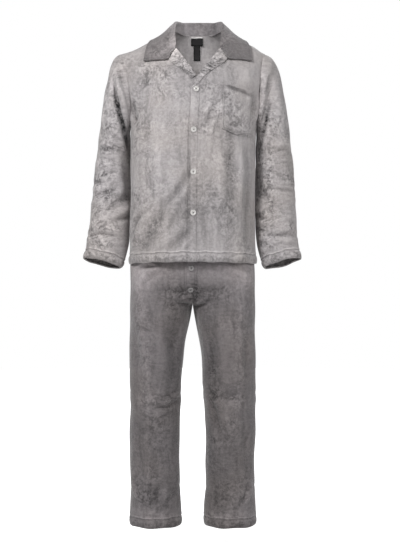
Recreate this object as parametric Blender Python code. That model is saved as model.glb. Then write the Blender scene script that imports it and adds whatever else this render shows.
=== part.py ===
"""A worn pajama set: a button-front shirt with a notched collar, over long trousers.

Metres, +Z up, the front faces -Y and the wearer's left is +X. The origin lies on the neck's
axis, between the two high points of the shoulders, where the wearer carries the shirt.
Every cut piece is its own closed wall of cloth, hollow inside, 0.3 mm from its neighbours.
"""
import math

import bmesh
import bpy
import numpy as np
from mathutils import Quaternion, Vector
from mathutils.bvhtree import BVHTree

# ---------------------------------------------------------------- cloth
WALL = 0.0025                # plush cloth
HEM_WALL = 0.0042            # the same, turned up at a hem
COLLAR_WALL = 0.0040         # collar, in two layers
LABEL_WALL = 0.0010
SEAM_GAP = 0.0003            # between two pieces that meet at a seam
LIFT = 0.0012                # from a panel to a piece that lies on it
HEM = 0.028                  # height of the shirt's hem
HEM_STEP = 0.04              # rows over which a wall thins above its hem

# ---------------------------------------------------------------- the shirt's body
# Row numbers run up the front (0 hem, 8 armpit, 16 shoulder) and down the back (24 armpit,
# 32 hem). Sizes are for the wearer's left half and are mirrored for the right.
HEM_ROW, ARMPIT_ROW, SHOULDER_ROW, BACK_ARMPIT_ROW, BACK_HEM_ROW = 0, 8, 16, 24, 32
BREAK_ROW, GORGE_ROW, NAPE_ROW = 11, 14, 19
LAP = 0.0145                 # from the centre front to the free edge of each front
LAP_RISE = 0.0027            # left front out, right front in, where they lap
LAP_FADE = (0.0185, 0.0550)  # |x| up to which the rise is full, and where it ends
CENTRE = [  # row, x, y, z of the front edge, neck seam and centre back
    (0, -LAP, -0.150, -0.752),
    (2.5, -LAP, -0.148, -0.620),
    (5, -LAP, -0.145, -0.470),
    (8, -LAP, -0.142, -0.310),
    (10, -LAP, -0.138, -0.240),
    (BREAK_ROW, -LAP, -0.134, -0.206),
    (12, 0.008, -0.126, -0.160),
    (13, 0.039, -0.100, -0.118),
    (GORGE_ROW, 0.0755, -0.050, -0.0626),
    (15, 0.0835, -0.028, -0.024),
    (SHOULDER_ROW, 0.0780, 0.000, 0.001),
    (17, 0.0670, 0.030, 0.000),
    (18, 0.0400, 0.055, 0.000),
    (NAPE_ROW, 0.0000, 0.066, 0.000),
    (20, 0.0000, 0.090, -0.055),
    (21, 0.0000, 0.108, -0.120),
    (22, 0.0000, 0.116, -0.190),
    (BACK_ARMPIT_ROW, 0.0000, 0.112, -0.310),
    (27, 0.0000, 0.108, -0.470),
    (29.5, 0.0000, 0.122, -0.620),
    (BACK_HEM_ROW, 0.0000, 0.133, -0.752),
]
CENTRE_CORNERS = (BREAK_ROW, GORGE_ROW, NAPE_ROW)
SIDE = [  # row, x, z of the side seam below the armpit, at y = 0
    (0, 0.2055, -0.757),
    (2.5, 0.2035, -0.617),
    (5, 0.2030, -0.478),
    (8, 0.2045, -0.310),
]
ARMHOLE = [  # row, x, and by how far the body has turned there from facing front to side
    (8, 0.2045, 90),
    (9, 0.2025, 80),
    (10, 0.2015, 69),
    (11, 0.2040, 58),
    (12, 0.2085, 48),
    (13, 0.2150, 38),
    (14, 0.2230, 27),
    (15, 0.2305, 14),
    (16, 0.2350, 0),
]
ARMHOLE_SPAN = (-0.310, -0.0755)    # z of the armpit and of the shoulder's end
ARMHOLE_DEPTH = (0.066, 0.070)      # reach of the armhole to the front and to the back
ROUNDNESS = 0.58                    # pull of the handle that rounds a row off at its centre
SIDE_ROUNDNESS = [                  # row, pull of the handle at its side
    (0, 0.66),
    (4, 0.65),
    (8, 0.70),
    (10, 0.68),
    (12, 0.62),
    (16, 0.58),
]
CENTRE_FLARE = 0.055                # how much a row swells from its front edge to the centre

# The neck stands a little to the wearer's left of the hem's centre.
SWAY = [  # z, shift of x
    (-0.80, 0.000),
    (-0.47, 0.002),
    (-0.34, 0.0045),
    (-0.21, 0.012),
    (-0.10, 0.0175),
    (0.00, 0.019),
    (0.10, 0.019),
]
SWAY_FADE = (0.175, 0.235)   # |x| from which the shift fades, and where it ends

# ---------------------------------------------------------------- sleeves
RING = 16                    # segments round a sleeve, matched by the armhole's rows
SLEEVE = [  # station, outer x, z, inner x, z, centre y, front reach, back reach, pitch
    (0.0, 0.2350, -0.0755, 0.2045, -0.310, 0.002, 0.066, 0.070, 0.000),
    (1.0, 0.2545, -0.090, 0.2065, -0.328, 0.006, 0.080, 0.076, 0.000),
    (2.0, 0.2715, -0.132, 0.2065, -0.349, 0.013, 0.080, 0.074, 0.000),
    (3.0, 0.2860, -0.200, 0.2050, -0.372, 0.021, 0.081, 0.072, 0.000),
    (4.0, 0.2990, -0.300, 0.2045, -0.402, 0.026, 0.079, 0.071, 0.000),
    (5.0, 0.3110, -0.387, 0.2040, -0.442, 0.030, 0.076, 0.069, 0.000),
    (6.0, 0.3225, -0.465, 0.2040, -0.500, 0.032, 0.072, 0.068, 0.002),
    (7.0, 0.3320, -0.562, 0.2045, -0.590, 0.030, 0.068, 0.064, 0.004),
    (8.0, 0.3405, -0.660, 0.2070, -0.685, 0.018, 0.061, 0.056, 0.009),
    (9.0, 0.3470, -0.714, 0.2215, -0.742, -0.003, 0.046, 0.044, 0.010),
    (10.0, 0.3520, -0.7395, 0.2325, -0.7690, -0.012, 0.032, 0.030, 0.010),
]
LEFT_SLEEVE_FULLNESS = [  # station, how much wider the wearer's left sleeve is
    (0, 0.000),
    (1.2, 0.005),
    (3, 0.0115),
    (5, 0.0115),
    (7, 0.005),
    (8.5, 0.000),
    (10, 0.000),
]
CUFF_STATION = 9.0           # where the cuff's hem begins
SLEEVE_STATIONS = [0.0, 0.5, 1.0, 1.4, 1.75, 2.1, 2.5, 3.0, 3.6, 4.3, 5.0, 5.5, 6.0, 6.5,
                   7.0, 7.5, 8.0, 8.5, 8.96, CUFF_STATION, 9.5, 10.0]
CREASE_STATION = 1.75        # the deep crease that runs from the sleeve head to the armpit
CREASE_DEPTH = 0.020
CREASE_REACH = 0.42          # half width of the crease, in stations
CREASE_SPAN = (20, 75, 150)  # degrees round the sleeve: armpit end, deepest, upper end

# ---------------------------------------------------------------- collar, lapels, pocket
COLLAR = [  # place, seam x, y, z, roll x, y, z, middle x, y, z, edge x, y, z
    (0.00, 0.0000, 0.066, 0.001, 0.0000, 0.072, 0.043,
     0.0000, 0.094, 0.014, 0.0000, 0.104, -0.022),
    (0.35, 0.0500, 0.049, 0.001, 0.0540, 0.052, 0.038,
     0.0750, 0.072, 0.012, 0.0890, 0.084, -0.022),
    (0.60, 0.0780, 0.002, 0.002, 0.0765, 0.006, 0.028,
     0.1050, 0.014, 0.004, 0.1350, 0.018, -0.024),
    (0.80, 0.0825, -0.030, -0.024, 0.0800, -0.030, -0.010,
     0.1140, -0.040, -0.036, 0.1620, -0.030, -0.068),
    (1.00, 0.0738, -0.0555, -0.0730, 0.0748, -0.0570, -0.0620,
     0.0945, -0.097, -0.1090, 0.1720, -0.078, -0.1130),
]
LAPEL_ROWS = 10
LAPEL_START = {"left": 0.0, "right": 1.65}   # the right one shows only above the crossing
COLLAR_PLACES = [0.0, 0.12, 0.24, 0.35, 0.48, 0.60, 0.70, 0.80, 0.90, 1.0]
COLLAR_FOLD = (0.0050, 0.0036)   # half width of the fold at the nape and at the gorge
COLLAR_RISE = 0.0012             # from the neck seam to the collar
FIRST_LEAF_COLUMN = 5
STAND_CLEARANCE = 0.0024
COLLAR_CLEARANCE = 0.0062        # from the body's surface to the middle of the collar's wall
LAPEL = [  # place, roll x, z, outer x, z
    (0.0, -0.0145, -0.2080, -0.0095, -0.2085),
    (1.0, -0.0060, -0.1850, 0.0065, -0.1960),
    (2.0, 0.0080, -0.1600, 0.0230, -0.1720),
    (3.0, 0.0260, -0.1340, 0.0430, -0.1540),
    (4.0, 0.0440, -0.1100, 0.0640, -0.1400),
    (5.0, 0.0600, -0.0850, 0.0800, -0.1270),
    (6.0, 0.0697, -0.0725, 0.0920, -0.1125),
]
POCKET = [  # place, left x, right x, z at the left, middle and right
    (0.0, 0.0850, 0.1810, -0.1980, -0.2065, -0.2150),
    (0.9, 0.0852, 0.1808, -0.2150, -0.2235, -0.2320),
    (1.0, 0.0852, 0.1808, -0.2160, -0.2245, -0.2330),
    (2.0, 0.0858, 0.1796, -0.2560, -0.2625, -0.2680),
    (3.0, 0.0866, 0.1778, -0.2960, -0.3030, -0.3050),
    (4.0, 0.0876, 0.1760, -0.3360, -0.3530, -0.3440),
]
POCKET_COLUMNS = 8

# ---------------------------------------------------------------- buttons and labels
BUTTON_RADIUS = 0.0090
BUTTON_RIM = 0.0022
BUTTON_HEIGHT = 0.0032
BUTTON_HOLE = 0.0009         # radius of each of the four holes
BUTTON_HOLE_SPREAD = 0.0019  # from the middle to each hole, along x and along z
BUTTONS = [(0.0007, -0.2145), (0.0004, -0.3420), (0.0015, -0.4727), (0.0025, -0.6000)]
FLY_BUTTONS = [(-0.0030, -0.7720), (-0.0056, -0.8390)]
NECK_LABEL = (0.040, 0.026, -0.0035)   # width, height, z of the top
CARE_LABEL = (0.023, 0.046, -0.0300)
LABEL_CENTRE = -0.0050                 # x, from the neck's centre

# ---------------------------------------------------------------- trousers
CROTCH_ROW, TROUSER_HEM_TOP, TROUSER_HEM_ROW = 8, 19, 20
HIPS_BELOW = (2, 5)          # rows between which the hips turn from oval to squarer
HIP_SQUARENESS = 0.86        # 1 gives the hips an oval section, less a squarer one
TROUSERS = [  # row, outer z, outer x, inner x, seam z, leg, front reach, back reach
    (0, -0.600, 0.1750, 0.0000, -0.600, 0.00, 0.106, 0.098),   # leg is 0 where the row goes
    (1, -0.650, 0.1860, 0.0000, -0.650, 0.00, 0.115, 0.108),   # round the hips and 1 where
    (2, -0.700, 0.1950, 0.0000, -0.700, 0.00, 0.121, 0.117),   # it goes round one leg
    (3, -0.757, 0.2005, 0.0000, -0.757, 0.00, 0.124, 0.122),
    (4, -0.785, 0.2018, 0.0000, -0.793, 0.01, 0.124, 0.124),
    (5, -0.825, 0.2025, 0.0000, -0.832, 0.07, 0.122, 0.122),
    (6, -0.868, 0.2025, 0.0000, -0.864, 0.24, 0.119, 0.118),
    (7, -0.912, 0.2020, 0.0005, -0.887, 0.56, 0.116, 0.112),
    (8, -0.950, 0.2020, 0.0030, -0.902, 1.00, 0.112, 0.104),
    (9, -0.985, 0.2028, 0.0135, -0.9555, 1, 0.107, 0.096),
    (10, -1.030, 0.2037, 0.0247, -1.020, 1, 0.101, 0.089),
    (11, -1.085, 0.2048, 0.0308, -1.085, 1, 0.095, 0.083),
    (12, -1.150, 0.2050, 0.0342, -1.150, 1, 0.089, 0.077),
    (13, -1.215, 0.2045, 0.0385, -1.215, 1, 0.084, 0.076),
    (14, -1.280, 0.2040, 0.0415, -1.280, 1, 0.080, 0.080),
    (15, -1.345, 0.2030, 0.0420, -1.345, 1, 0.077, 0.084),
    (16, -1.410, 0.2025, 0.0420, -1.410, 1, 0.075, 0.083),
    (17, -1.475, 0.2025, 0.0415, -1.475, 1, 0.075, 0.080),
    (18, -1.530, 0.2030, 0.0370, -1.530, 1, 0.075, 0.077),
    (19, -1.567, 0.2040, 0.0360, -1.567, 1, 0.076, 0.075),
    (20, -1.598, 0.2050, 0.0365, -1.598, 1, 0.076, 0.075),
]
TROUSER_COLUMNS = 7
WAISTBAND_HEIGHT = 0.040
WAISTBAND_WALL = 0.0045
WAISTBAND_TAPER = 0.010      # how much further in the band's top lies
FLY_COLUMNS = (-0.0235, -0.012, 0.0, 0.013)   # x, from the free edge to the seam
FLY_HEIGHT = (-0.612, -0.862)
FLY_ROWS = 10
FLY_LIFT = 0.0013

# ---------------------------------------------------------------- colours, as sRGB bytes
SHIRT_GREY = (170, 165, 165)
COLLAR_GREY = (142, 137, 137)
TROUSER_GREY = (112, 107, 108)
BUTTON_GREY = (176, 172, 170)
LABEL_BLACK = (38, 36, 38)

SMALL = 0.004                # step for slopes, as a share of a row or of the way across


# ================================================================ tables and curves
class Track:
    """A smooth curve through the rows of a table, with sharp turns at its corners."""

    def __init__(self, rows, corners=()):
        table = np.array(rows, float)
        self.at_rows, self.values = table[:, 0], table[:, 1:]
        step = np.diff(self.at_rows)[:, None]
        slope = np.diff(self.values, axis=0) / step
        before = np.vstack([slope[:1], slope])
        after = np.vstack([slope, slope[-1:]])
        step_before = np.vstack([step[:1], step])
        step_after = np.vstack([step, step[-1:]])
        smooth = (before * step_after + after * step_before) / (step_before + step_after)
        self.arriving, self.leaving = smooth.copy(), smooth.copy()
        for corner in corners:
            index = int(np.argmin(abs(self.at_rows - corner)))
            self.arriving[index] = before[index]
            self.leaving[index] = after[index]

    def __call__(self, place):
        place = np.atleast_1d(np.asarray(place, float))
        index = np.clip(np.searchsorted(self.at_rows, place, side="right") - 1,
                        0, len(self.at_rows) - 2)
        step = (self.at_rows[index + 1] - self.at_rows[index])[:, None]
        t = (place[:, None] - self.at_rows[index][:, None]) / step
        start, end = self.values[index], self.values[index + 1]
        leave, arrive = self.leaving[index] * step, self.arriving[index + 1] * step
        return ((2 * t**3 - 3 * t**2 + 1) * start + (t**3 - 2 * t**2 + t) * leave
                + (3 * t**2 - 2 * t**3) * end + (t**3 - t**2) * arrive)


def smoothstep(value, low, high):
    t = np.clip((np.asarray(value, float) - low) / (high - low), 0, 1)
    return t * t * (3 - 2 * t)


def unit(vectors):
    return vectors / np.maximum(np.linalg.norm(vectors, axis=-1, keepdims=True), 1e-12)


def arc(start, start_pull, end_pull, end, across):
    """Bezier arcs from start to end, one for each row, read at the places across."""
    t = np.asarray(across, float)[None, :, None]
    first, last = start[:, None], end[:, None]
    second, third = (start + start_pull)[:, None], (end - end_pull)[:, None]
    return (first * (1 - t)**3 + 3 * second * t * (1 - t)**2
            + 3 * third * t**2 * (1 - t) + last * t**3)


def slopes_out(surface, rows, across, sign=1):
    """Unit normals of surface(rows, across), by small steps both ways, times the sign."""
    rows, across = np.asarray(rows, float), np.asarray(across, float)
    up = surface(rows + SMALL, across) - surface(rows - SMALL, across)
    side = surface(rows, across + SMALL) - surface(rows, across - SMALL)
    return unit(np.cross(side, up)) * sign


# ================================================================ garment surfaces
centre_track = Track(CENTRE, CENTRE_CORNERS)
side_track = Track(SIDE)
armhole_track = Track(ARMHOLE)
roundness_track = Track(SIDE_ROUNDNESS)
sway_track = Track(SWAY)
sleeve_track = Track(SLEEVE)
fullness_track = Track(LEFT_SLEEVE_FULLNESS)
trouser_track = Track(TROUSERS)


def sway(points, mirror=1):
    """Mirrors points for the wearer's right and shifts them with the neck."""
    moved = points.copy()
    moved[..., 0] *= mirror
    shift = sway_track(np.clip(points[..., 2].ravel(), SWAY[0][0], SWAY[-1][0]))
    shift = shift.reshape(points.shape[:-1])
    moved[..., 0] += shift * (1 - smoothstep(abs(points[..., 0]), *SWAY_FADE))
    return moved


def from_front(row):
    """The row of the front that meets this row at the side seam or armhole."""
    return np.where(row > SHOULDER_ROW, BACK_HEM_ROW - row, row)


def armhole(row):
    """The armhole's points: row 8 at the armpit, 16 at the shoulder, 24 at the armpit."""
    row = np.atleast_1d(np.asarray(row, float))
    angle = (row - ARMPIT_ROW) / (SHOULDER_ROW - ARMPIT_ROW) * math.pi
    height = (1 - np.cos(angle)) / 2
    reach = np.where(row <= SHOULDER_ROW, *ARMHOLE_DEPTH)
    x = armhole_track(from_front(row))[:, 0]
    z = ARMHOLE_SPAN[0] + (ARMHOLE_SPAN[1] - ARMHOLE_SPAN[0]) * height
    return np.stack([x, 0.002 * height - reach * np.sin(angle), z], axis=1)


def body_side(row):
    """The body's side edge: the side seam, then the armhole, then the side seam again."""
    row = np.atleast_1d(np.asarray(row, float))
    seam = side_track(np.clip(from_front(row), HEM_ROW, ARMPIT_ROW))
    seam = np.stack([seam[:, 0], np.zeros(len(row)), seam[:, 1]], axis=1)
    in_armhole = (from_front(row) > ARMPIT_ROW)[:, None]
    return np.where(in_armhole, armhole(np.clip(row, ARMPIT_ROW, BACK_ARMPIT_ROW)), seam)


def body(row, across):
    """Outside of the shirt's body: across is 0 at the centre or neck, 1 at the side."""
    row = np.clip(np.asarray(row, float), HEM_ROW, BACK_HEM_ROW)
    start, end = centre_track(row), body_side(row)
    chord = end - start
    face = np.where(row <= SHOULDER_ROW, 1.0, -1.0)
    height = smoothstep(abs(row - SHOULDER_ROW), 0, SHOULDER_ROW - ARMPIT_ROW)
    turn = np.radians(armhole_track(np.clip(from_front(row), ARMPIT_ROW, SHOULDER_ROW))[:, 1])
    open_top = smoothstep(abs(row - SHOULDER_ROW), 5, 0)
    length = np.linalg.norm(chord, axis=1)
    heading = unit(np.stack([np.ones(len(row)), -face * CENTRE_FLARE * height * (face > 0),
                             open_top * chord[:, 2] / chord[:, 0]], axis=1))
    arrival = unit(np.stack([np.cos(turn), face * np.sin(turn),
                             chord[:, 2] / length * np.cos(turn)], axis=1))
    start_pull = length / 3 * (1 - height) + ROUNDNESS * chord[:, 0] * height
    side_pull = roundness_track(from_front(row))[:, 0]
    end_pull = length / 3 * (1 - height) + side_pull * abs(chord[:, 1]) * height
    return arc(start, heading * start_pull[:, None], arrival * end_pull[:, None], end, across)


def sleeve(station, angle):
    """Outside of a sleeve: angle runs from the armpit (0) over the front and back round."""
    station = np.clip(np.asarray(station, float), 0, 10)
    angle = np.asarray(angle, float)
    out_x, out_z, in_x, in_z, mid_y, front, back, pitch = sleeve_track(station).T
    cos, sin = np.cos(angle)[None], np.sin(angle)[None]
    reach = np.where(sin >= 0, front[:, None], back[:, None])
    x = (out_x + in_x)[:, None] / 2 - (out_x - in_x)[:, None] / 2 * cos
    y = mid_y[:, None] - reach * sin
    z = (out_z + in_z)[:, None] / 2 - (out_z - in_z)[:, None] / 2 * cos
    z = z + pitch[:, None] * sin
    degrees = np.degrees(angle)
    low, deepest, high = CREASE_SPAN
    along = smoothstep(degrees, low, deepest) * smoothstep(degrees, high, deepest)
    near = np.exp(-((station - CREASE_STATION) / CREASE_REACH)**2)
    y = y + CREASE_DEPTH * near[:, None] * along[None]
    ring = np.stack([x, y, z], axis=-1)
    row = ARMPIT_ROW + (degrees % 360) / 360 * 2 * (SHOULDER_ROW - ARMPIT_ROW)
    join = smoothstep(station, 0, 1)[:, None, None]
    start = armhole(row)[None] - sleeve_ring_zero(angle)[None]
    return ring + start * (1 - join)


def sleeve_ring_zero(angle):
    """The first ring that the sleeve's table alone would give."""
    out_x, out_z, in_x, in_z, mid_y, front, back, _ = SLEEVE[0][1:]
    reach = np.where(np.sin(angle) >= 0, front, back)
    return np.stack([(out_x + in_x) / 2 - (out_x - in_x) / 2 * np.cos(angle),
                     mid_y - reach * np.sin(angle),
                     (out_z + in_z) / 2 - (out_z - in_z) / 2 * np.cos(angle)], axis=1)


def trouser(face):
    """Outside of a trouser leg's front (face 1) or back (-1) as a function of row, across."""
    def surface(row, across):
        row = np.clip(np.asarray(row, float), 0, TROUSER_HEM_ROW)
        out_z, out_x, in_x, seam_z, leg, front, back = trouser_track(row).T[..., None]
        reach = -(front if face > 0 else -back)
        leg = np.clip(leg, 0, 1)
        turn = np.asarray(across, float)[None] * math.pi
        sin = np.sin(turn / 2)
        squareness = 1 - (1 - HIP_SQUARENESS) * smoothstep(row[:, None], *HIPS_BELOW)
        hips_x = out_x * np.sign(sin) * abs(sin)**squareness
        hips_y = abs(np.cos(turn / 2))**squareness
        leg_x, leg_y = in_x + (out_x - in_x) * (1 - np.cos(turn)) / 2, np.sin(turn)
        x = hips_x * (1 - leg) + leg_x * leg
        y = reach * (hips_y * (1 - leg) + leg_y * leg)
        z = out_z + (seam_z - out_z) * np.cos(turn / 2)**4
        return np.stack([x, y, z + 0 * x], axis=-1)
    return surface


# ================================================================ meshes
def cloth_material(name, colour, roughness=0.9):
    material = bpy.data.materials.new(name)
    material.use_nodes = True
    shader = material.node_tree.nodes["Principled BSDF"]
    linear = [(c / 255 / 12.92) if c <= 10 else ((c / 255 + 0.055) / 1.055)**2.4
              for c in colour]
    shader.inputs["Base Color"].default_value = (*linear, 1.0)
    shader.inputs["Roughness"].default_value = roughness
    shader.inputs["Metallic"].default_value = 0.0
    material.diffuse_color = (*linear, 1.0)
    return material


def add_mesh(name, points, faces, material):
    """Adds a mesh object, its faces cut into triangles along their longer diagonals."""
    work = bmesh.new()
    corners = [work.verts.new(point) for point in points]
    for face in faces:
        work.faces.new([corners[index] for index in face])
    bmesh.ops.triangulate(work, faces=work.faces[:], quad_method="LONG_EDGE")
    bmesh.ops.recalc_face_normals(work, faces=work.faces[:])
    mesh = bpy.data.meshes.new(name)
    work.to_mesh(mesh)
    work.free()
    mesh.materials.append(material)
    thing = bpy.data.objects.new(name, mesh)
    bpy.context.scene.collection.objects.link(thing)
    return thing


def grid_faces(rows, columns, flip=False, wrap=False, start=0):
    """Quads of a grid of points, rows by columns, counted from start."""
    faces = []
    for i in range(rows - 1):
        for j in range(columns if wrap else columns - 1):
            k = (j + 1) % columns
            quad = [i * columns + j, i * columns + k, (i + 1) * columns + k,
                    (i + 1) * columns + j]
            quad = [start + index for index in quad]
            faces.append(quad[::-1] if flip else quad)
    return faces


def open_edges(faces):
    """Edges that only one face uses, each in that face's own direction."""
    edges = {(face[k], face[(k + 1) % len(face)]) for face in faces for k in range(len(face))}
    return [edge for edge in edges if edge[::-1] not in edges]


def pull_in(points, normals, faces, amount):
    """Moves the edge of a sheet inwards, along the sheet."""
    inward = {}
    for a, b in open_edges(faces):
        along = points[b] - points[a]
        for index in (a, b):
            inward.setdefault(index, []).append(unit(np.cross(normals[index], along)))
    moved = points.copy()
    for index, (one, other) in inward.items():
        moved[index] += amount * (one + other) / (1 + float(one @ other))
    return moved


def wall(name, points, normals, faces, thickness, material, seam=SEAM_GAP / 2):
    """A sheet of outside points made into a closed wall, its inside offset along the normals."""
    points = pull_in(points, normals, faces, seam)
    thickness = np.broadcast_to(np.asarray(thickness, float), len(points))
    inside = points - normals * thickness[:, None]
    count = len(points)
    closed = [list(face) for face in faces]
    closed += [[index + count for index in reversed(face)] for face in faces]
    closed += [[b, a, a + count, b + count] for a, b in open_edges(faces)]
    return add_mesh(name, np.vstack([points, inside]), closed, material)


def weld(points, normals, faces):
    """Joins points that share a place, so two halves become one sheet."""
    lookup, order, new_index = {}, [], []
    for index, point in enumerate(points):
        key = tuple(np.round(point, 6))
        if key not in lookup:
            lookup[key] = len(order)
            order.append(index)
        new_index.append(lookup[key])
    faces = [[new_index[index] for index in face] for face in faces]
    summed = np.zeros((len(order), 3))
    np.add.at(summed, new_index, normals)
    return points[order], unit(summed), faces, np.array(order)


def mirrored_normals(normals, mirror):
    return normals * np.array([mirror, 1, 1])


# ================================================================ shirt
def armhole_normals(row):
    """Wall directions at the armhole for the body and the sleeve.

    Where the two surfaces make a ridge they share one direction, so that their walls meet;
    in a valley each keeps its own and the walls part.
    """
    angles = (np.asarray(row, float) - ARMPIT_ROW) / (SHOULDER_ROW - ARMPIT_ROW) * math.pi
    ring = sleeve([0.0, 0.25], angles)
    into_sleeve = unit(ring[1] - ring[0])
    of_body = slopes_out(body, row, [0.985, 1.0])[:, 1]
    of_sleeve = sleeve_normals([0.0, 0.25], angles)[0]
    ridge = np.sum(of_body * into_sleeve, axis=1) < 0.0
    shared = unit(of_body + of_sleeve)
    return (np.where(ridge[:, None], shared, of_body),
            np.where(ridge[:, None], shared, of_sleeve))


def sleeve_normals(stations, angles):
    """Outward unit normals of a sleeve; rows of stations run down, angles from the front."""
    stations, angles = np.asarray(stations, float), np.asarray(angles, float)
    along = sleeve(stations + 0.05, angles) - sleeve(stations - 0.05, angles)
    round_ring = sleeve(stations, angles + 0.02) - sleeve(stations, angles - 0.02)
    return unit(np.cross(along, round_ring))


def body_sheet(rows, across, rise=0.0):
    """Points and normals of a part of the shirt's body, flattened row by row."""
    points = body(rows, across)
    normals = slopes_out(body, rows, across)
    rows = np.asarray(rows, float)
    hole = (rows > ARMPIT_ROW) & (rows < BACK_ARMPIT_ROW)
    if abs(across[-1] - 1) < 1e-9 and hole.any():
        normals[hole, -1] = armhole_normals(rows[hole])[0]
    near_edge = 1 - smoothstep(points[..., 0], *LAP_FADE)
    below_lapel = 1 - smoothstep(rows, BREAK_ROW + 1, GORGE_ROW)
    points[..., 1] -= rise * near_edge * below_lapel[:, None]
    return points.reshape(-1, 3), normals.reshape(-1, 3)


def hem_top_row():
    """Row of the front at which the shirt's hem ends."""
    rows = np.linspace(HEM_ROW, HEM_ROW + 3, 301)
    height = side_track(rows)[:, 1] - side_track(HEM_ROW)[0, 1]
    return float(np.interp(HEM, height, rows))


def make_fronts(cloth):
    """The two fronts; they share one shape, and lap by a small rise at the centre."""
    hem_top = hem_top_row()
    rows = np.array([0, hem_top, hem_top + HEM_STEP, 1.25, 2, 3, 4, 5, 6, 7, 8, 9, 10, 11, 12, 13,
                     14, 15, 16])
    across = np.array([0, 0.07, 0.15, 0.26, 0.38, 0.50, 0.62, 0.74, 0.87, 1])
    fronts = {}
    for name, mirror, rise in (("left", 1, LAP_RISE), ("right", -1, -LAP_RISE)):
        points, normals = body_sheet(rows, across, rise)
        faces = grid_faces(len(rows), len(across), flip=mirror < 0)
        points, normals = sway(points, mirror), mirrored_normals(normals, mirror)
        thickness = np.repeat(np.where(rows <= hem_top, HEM_WALL, WALL), len(across))
        fronts[name] = (points, faces)
        wall("shirt_front_" + name, points, normals, faces, thickness, cloth)
    return fronts


def make_back(cloth):
    """The back, both halves joined down the centre below the nape."""
    hem_top = BACK_HEM_ROW - hem_top_row()
    rows = np.array([16, 17, 18, 19, 20, 21, 22, 23, 24, 25, 26, 27, 28, 29, 30, 30.75,
                     hem_top - HEM_STEP, hem_top, 32])
    across = np.array([0, 0.12, 0.25, 0.38, 0.50, 0.62, 0.74, 0.87, 1])
    sides = []
    for mirror in (1, -1):
        points, normals = body_sheet(rows, across)
        start = 0 if mirror > 0 else len(rows) * len(across)
        faces = grid_faces(len(rows), len(across), flip=mirror < 0, start=start)
        sides.append((sway(points, mirror), mirrored_normals(normals, mirror), faces))
    points = np.vstack([side[0] for side in sides])
    normals = np.vstack([side[1] for side in sides])
    thickness = np.tile(np.repeat(np.where(rows >= hem_top, HEM_WALL, WALL), len(across)), 2)
    points, normals, faces, kept = weld(points, normals, sides[0][2] + sides[1][2])
    wall("shirt_back", points, normals, faces, thickness[kept], cloth)
    return points, faces


def make_sleeve(name, mirror, cloth):
    angles = np.arange(RING) / RING * 2 * math.pi
    points = sleeve(SLEEVE_STATIONS, angles)
    normals = sleeve_normals(SLEEVE_STATIONS, angles)
    rows = ARMPIT_ROW + np.arange(RING) / RING * 2 * (SHOULDER_ROW - ARMPIT_ROW)
    inner_rows = slice(1, RING)
    normals[0, inner_rows] = armhole_normals(rows[inner_rows])[1]
    if mirror > 0:
        extra = fullness_track(SLEEVE_STATIONS)
        points[..., 0] += extra * (1 - np.cos(angles)) / 2
    points, normals = points.reshape(-1, 3), normals.reshape(-1, 3)
    faces = grid_faces(len(SLEEVE_STATIONS), RING, flip=mirror > 0, wrap=True)
    stations = np.repeat(SLEEVE_STATIONS, RING)
    thickness = np.where(stations >= CUFF_STATION, HEM_WALL, WALL)
    wall(name, sway(points, mirror), mirrored_normals(normals, mirror), faces, thickness, cloth)


def surface_tree(*sheets):
    """A search tree over the outside of some sheets of points and faces."""
    points, faces, start = [], [], 0
    for sheet_points, sheet_faces in sheets:
        points += [Vector(point) for point in sheet_points]
        faces += [[index + start for index in face] for face in sheet_faces]
        start += len(sheet_points)
    return BVHTree.FromPolygons(points, faces)


def clear_of(tree, point, clearance):
    """The point, moved until it clears the nearest surface, outwards or off its edge."""
    place, normal, _, _ = tree.find_nearest(Vector(point))
    away = Vector(point) - place
    height = away.dot(normal)
    beside = (away - normal * height).length > clearance / 2
    if height >= clearance or (beside and away.length >= clearance):
        return np.array(point)
    if beside:
        return np.array(place + away.normalized() * clearance)
    return np.array(point) + np.array(normal) * (clearance - height)


def collar_section(place):
    """Middle line of the collar's wall, from the neck seam over the roll to the edge."""
    seam, roll, middle, edge = Track(COLLAR)(place)[0].reshape(4, 3)
    half = COLLAR_FOLD[0] + (COLLAR_FOLD[1] - COLLAR_FOLD[0]) * place
    outward = edge - roll
    outward[2] = 0
    outward = unit(outward)
    up = np.array([0, 0, 1.0])
    seam = seam + up * COLLAR_RISE - outward * half * 0.3
    inner = roll - outward * half - up * half * 0.75
    outer = roll + outward * half - up * half * 0.75
    return np.array([seam, (seam + inner) / 2, inner, roll, outer,
                     (outer + middle) / 2 + outward * 0.002 * (1 - place), middle,
                     (middle + edge) / 2, edge])


def make_collar(tree, cloth):
    half = np.array([collar_section(place) for place in COLLAR_PLACES])
    columns = half.shape[1]
    right = sway(half.reshape(-1, 3), -1).reshape(half.shape)
    left = sway(half.reshape(-1, 3), 1).reshape(half.shape)
    grid = np.vstack([right[:0:-1], left])
    for section in grid:
        for column in range(columns):
            clearance = COLLAR_CLEARANCE if column >= FIRST_LEAF_COLUMN else STAND_CLEARANCE
            section[column] = clear_of(tree, section[column], clearance)
    rows = len(grid)
    along, down = np.gradient(grid, axis=0), np.gradient(grid, axis=1)
    normals = unit(np.cross(down, along)).reshape(-1, 3)
    points = grid.reshape(-1, 3) + normals * COLLAR_WALL / 2
    wall("collar", points, normals, grid_faces(rows, columns, flip=True), COLLAR_WALL, cloth, 0)


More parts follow.
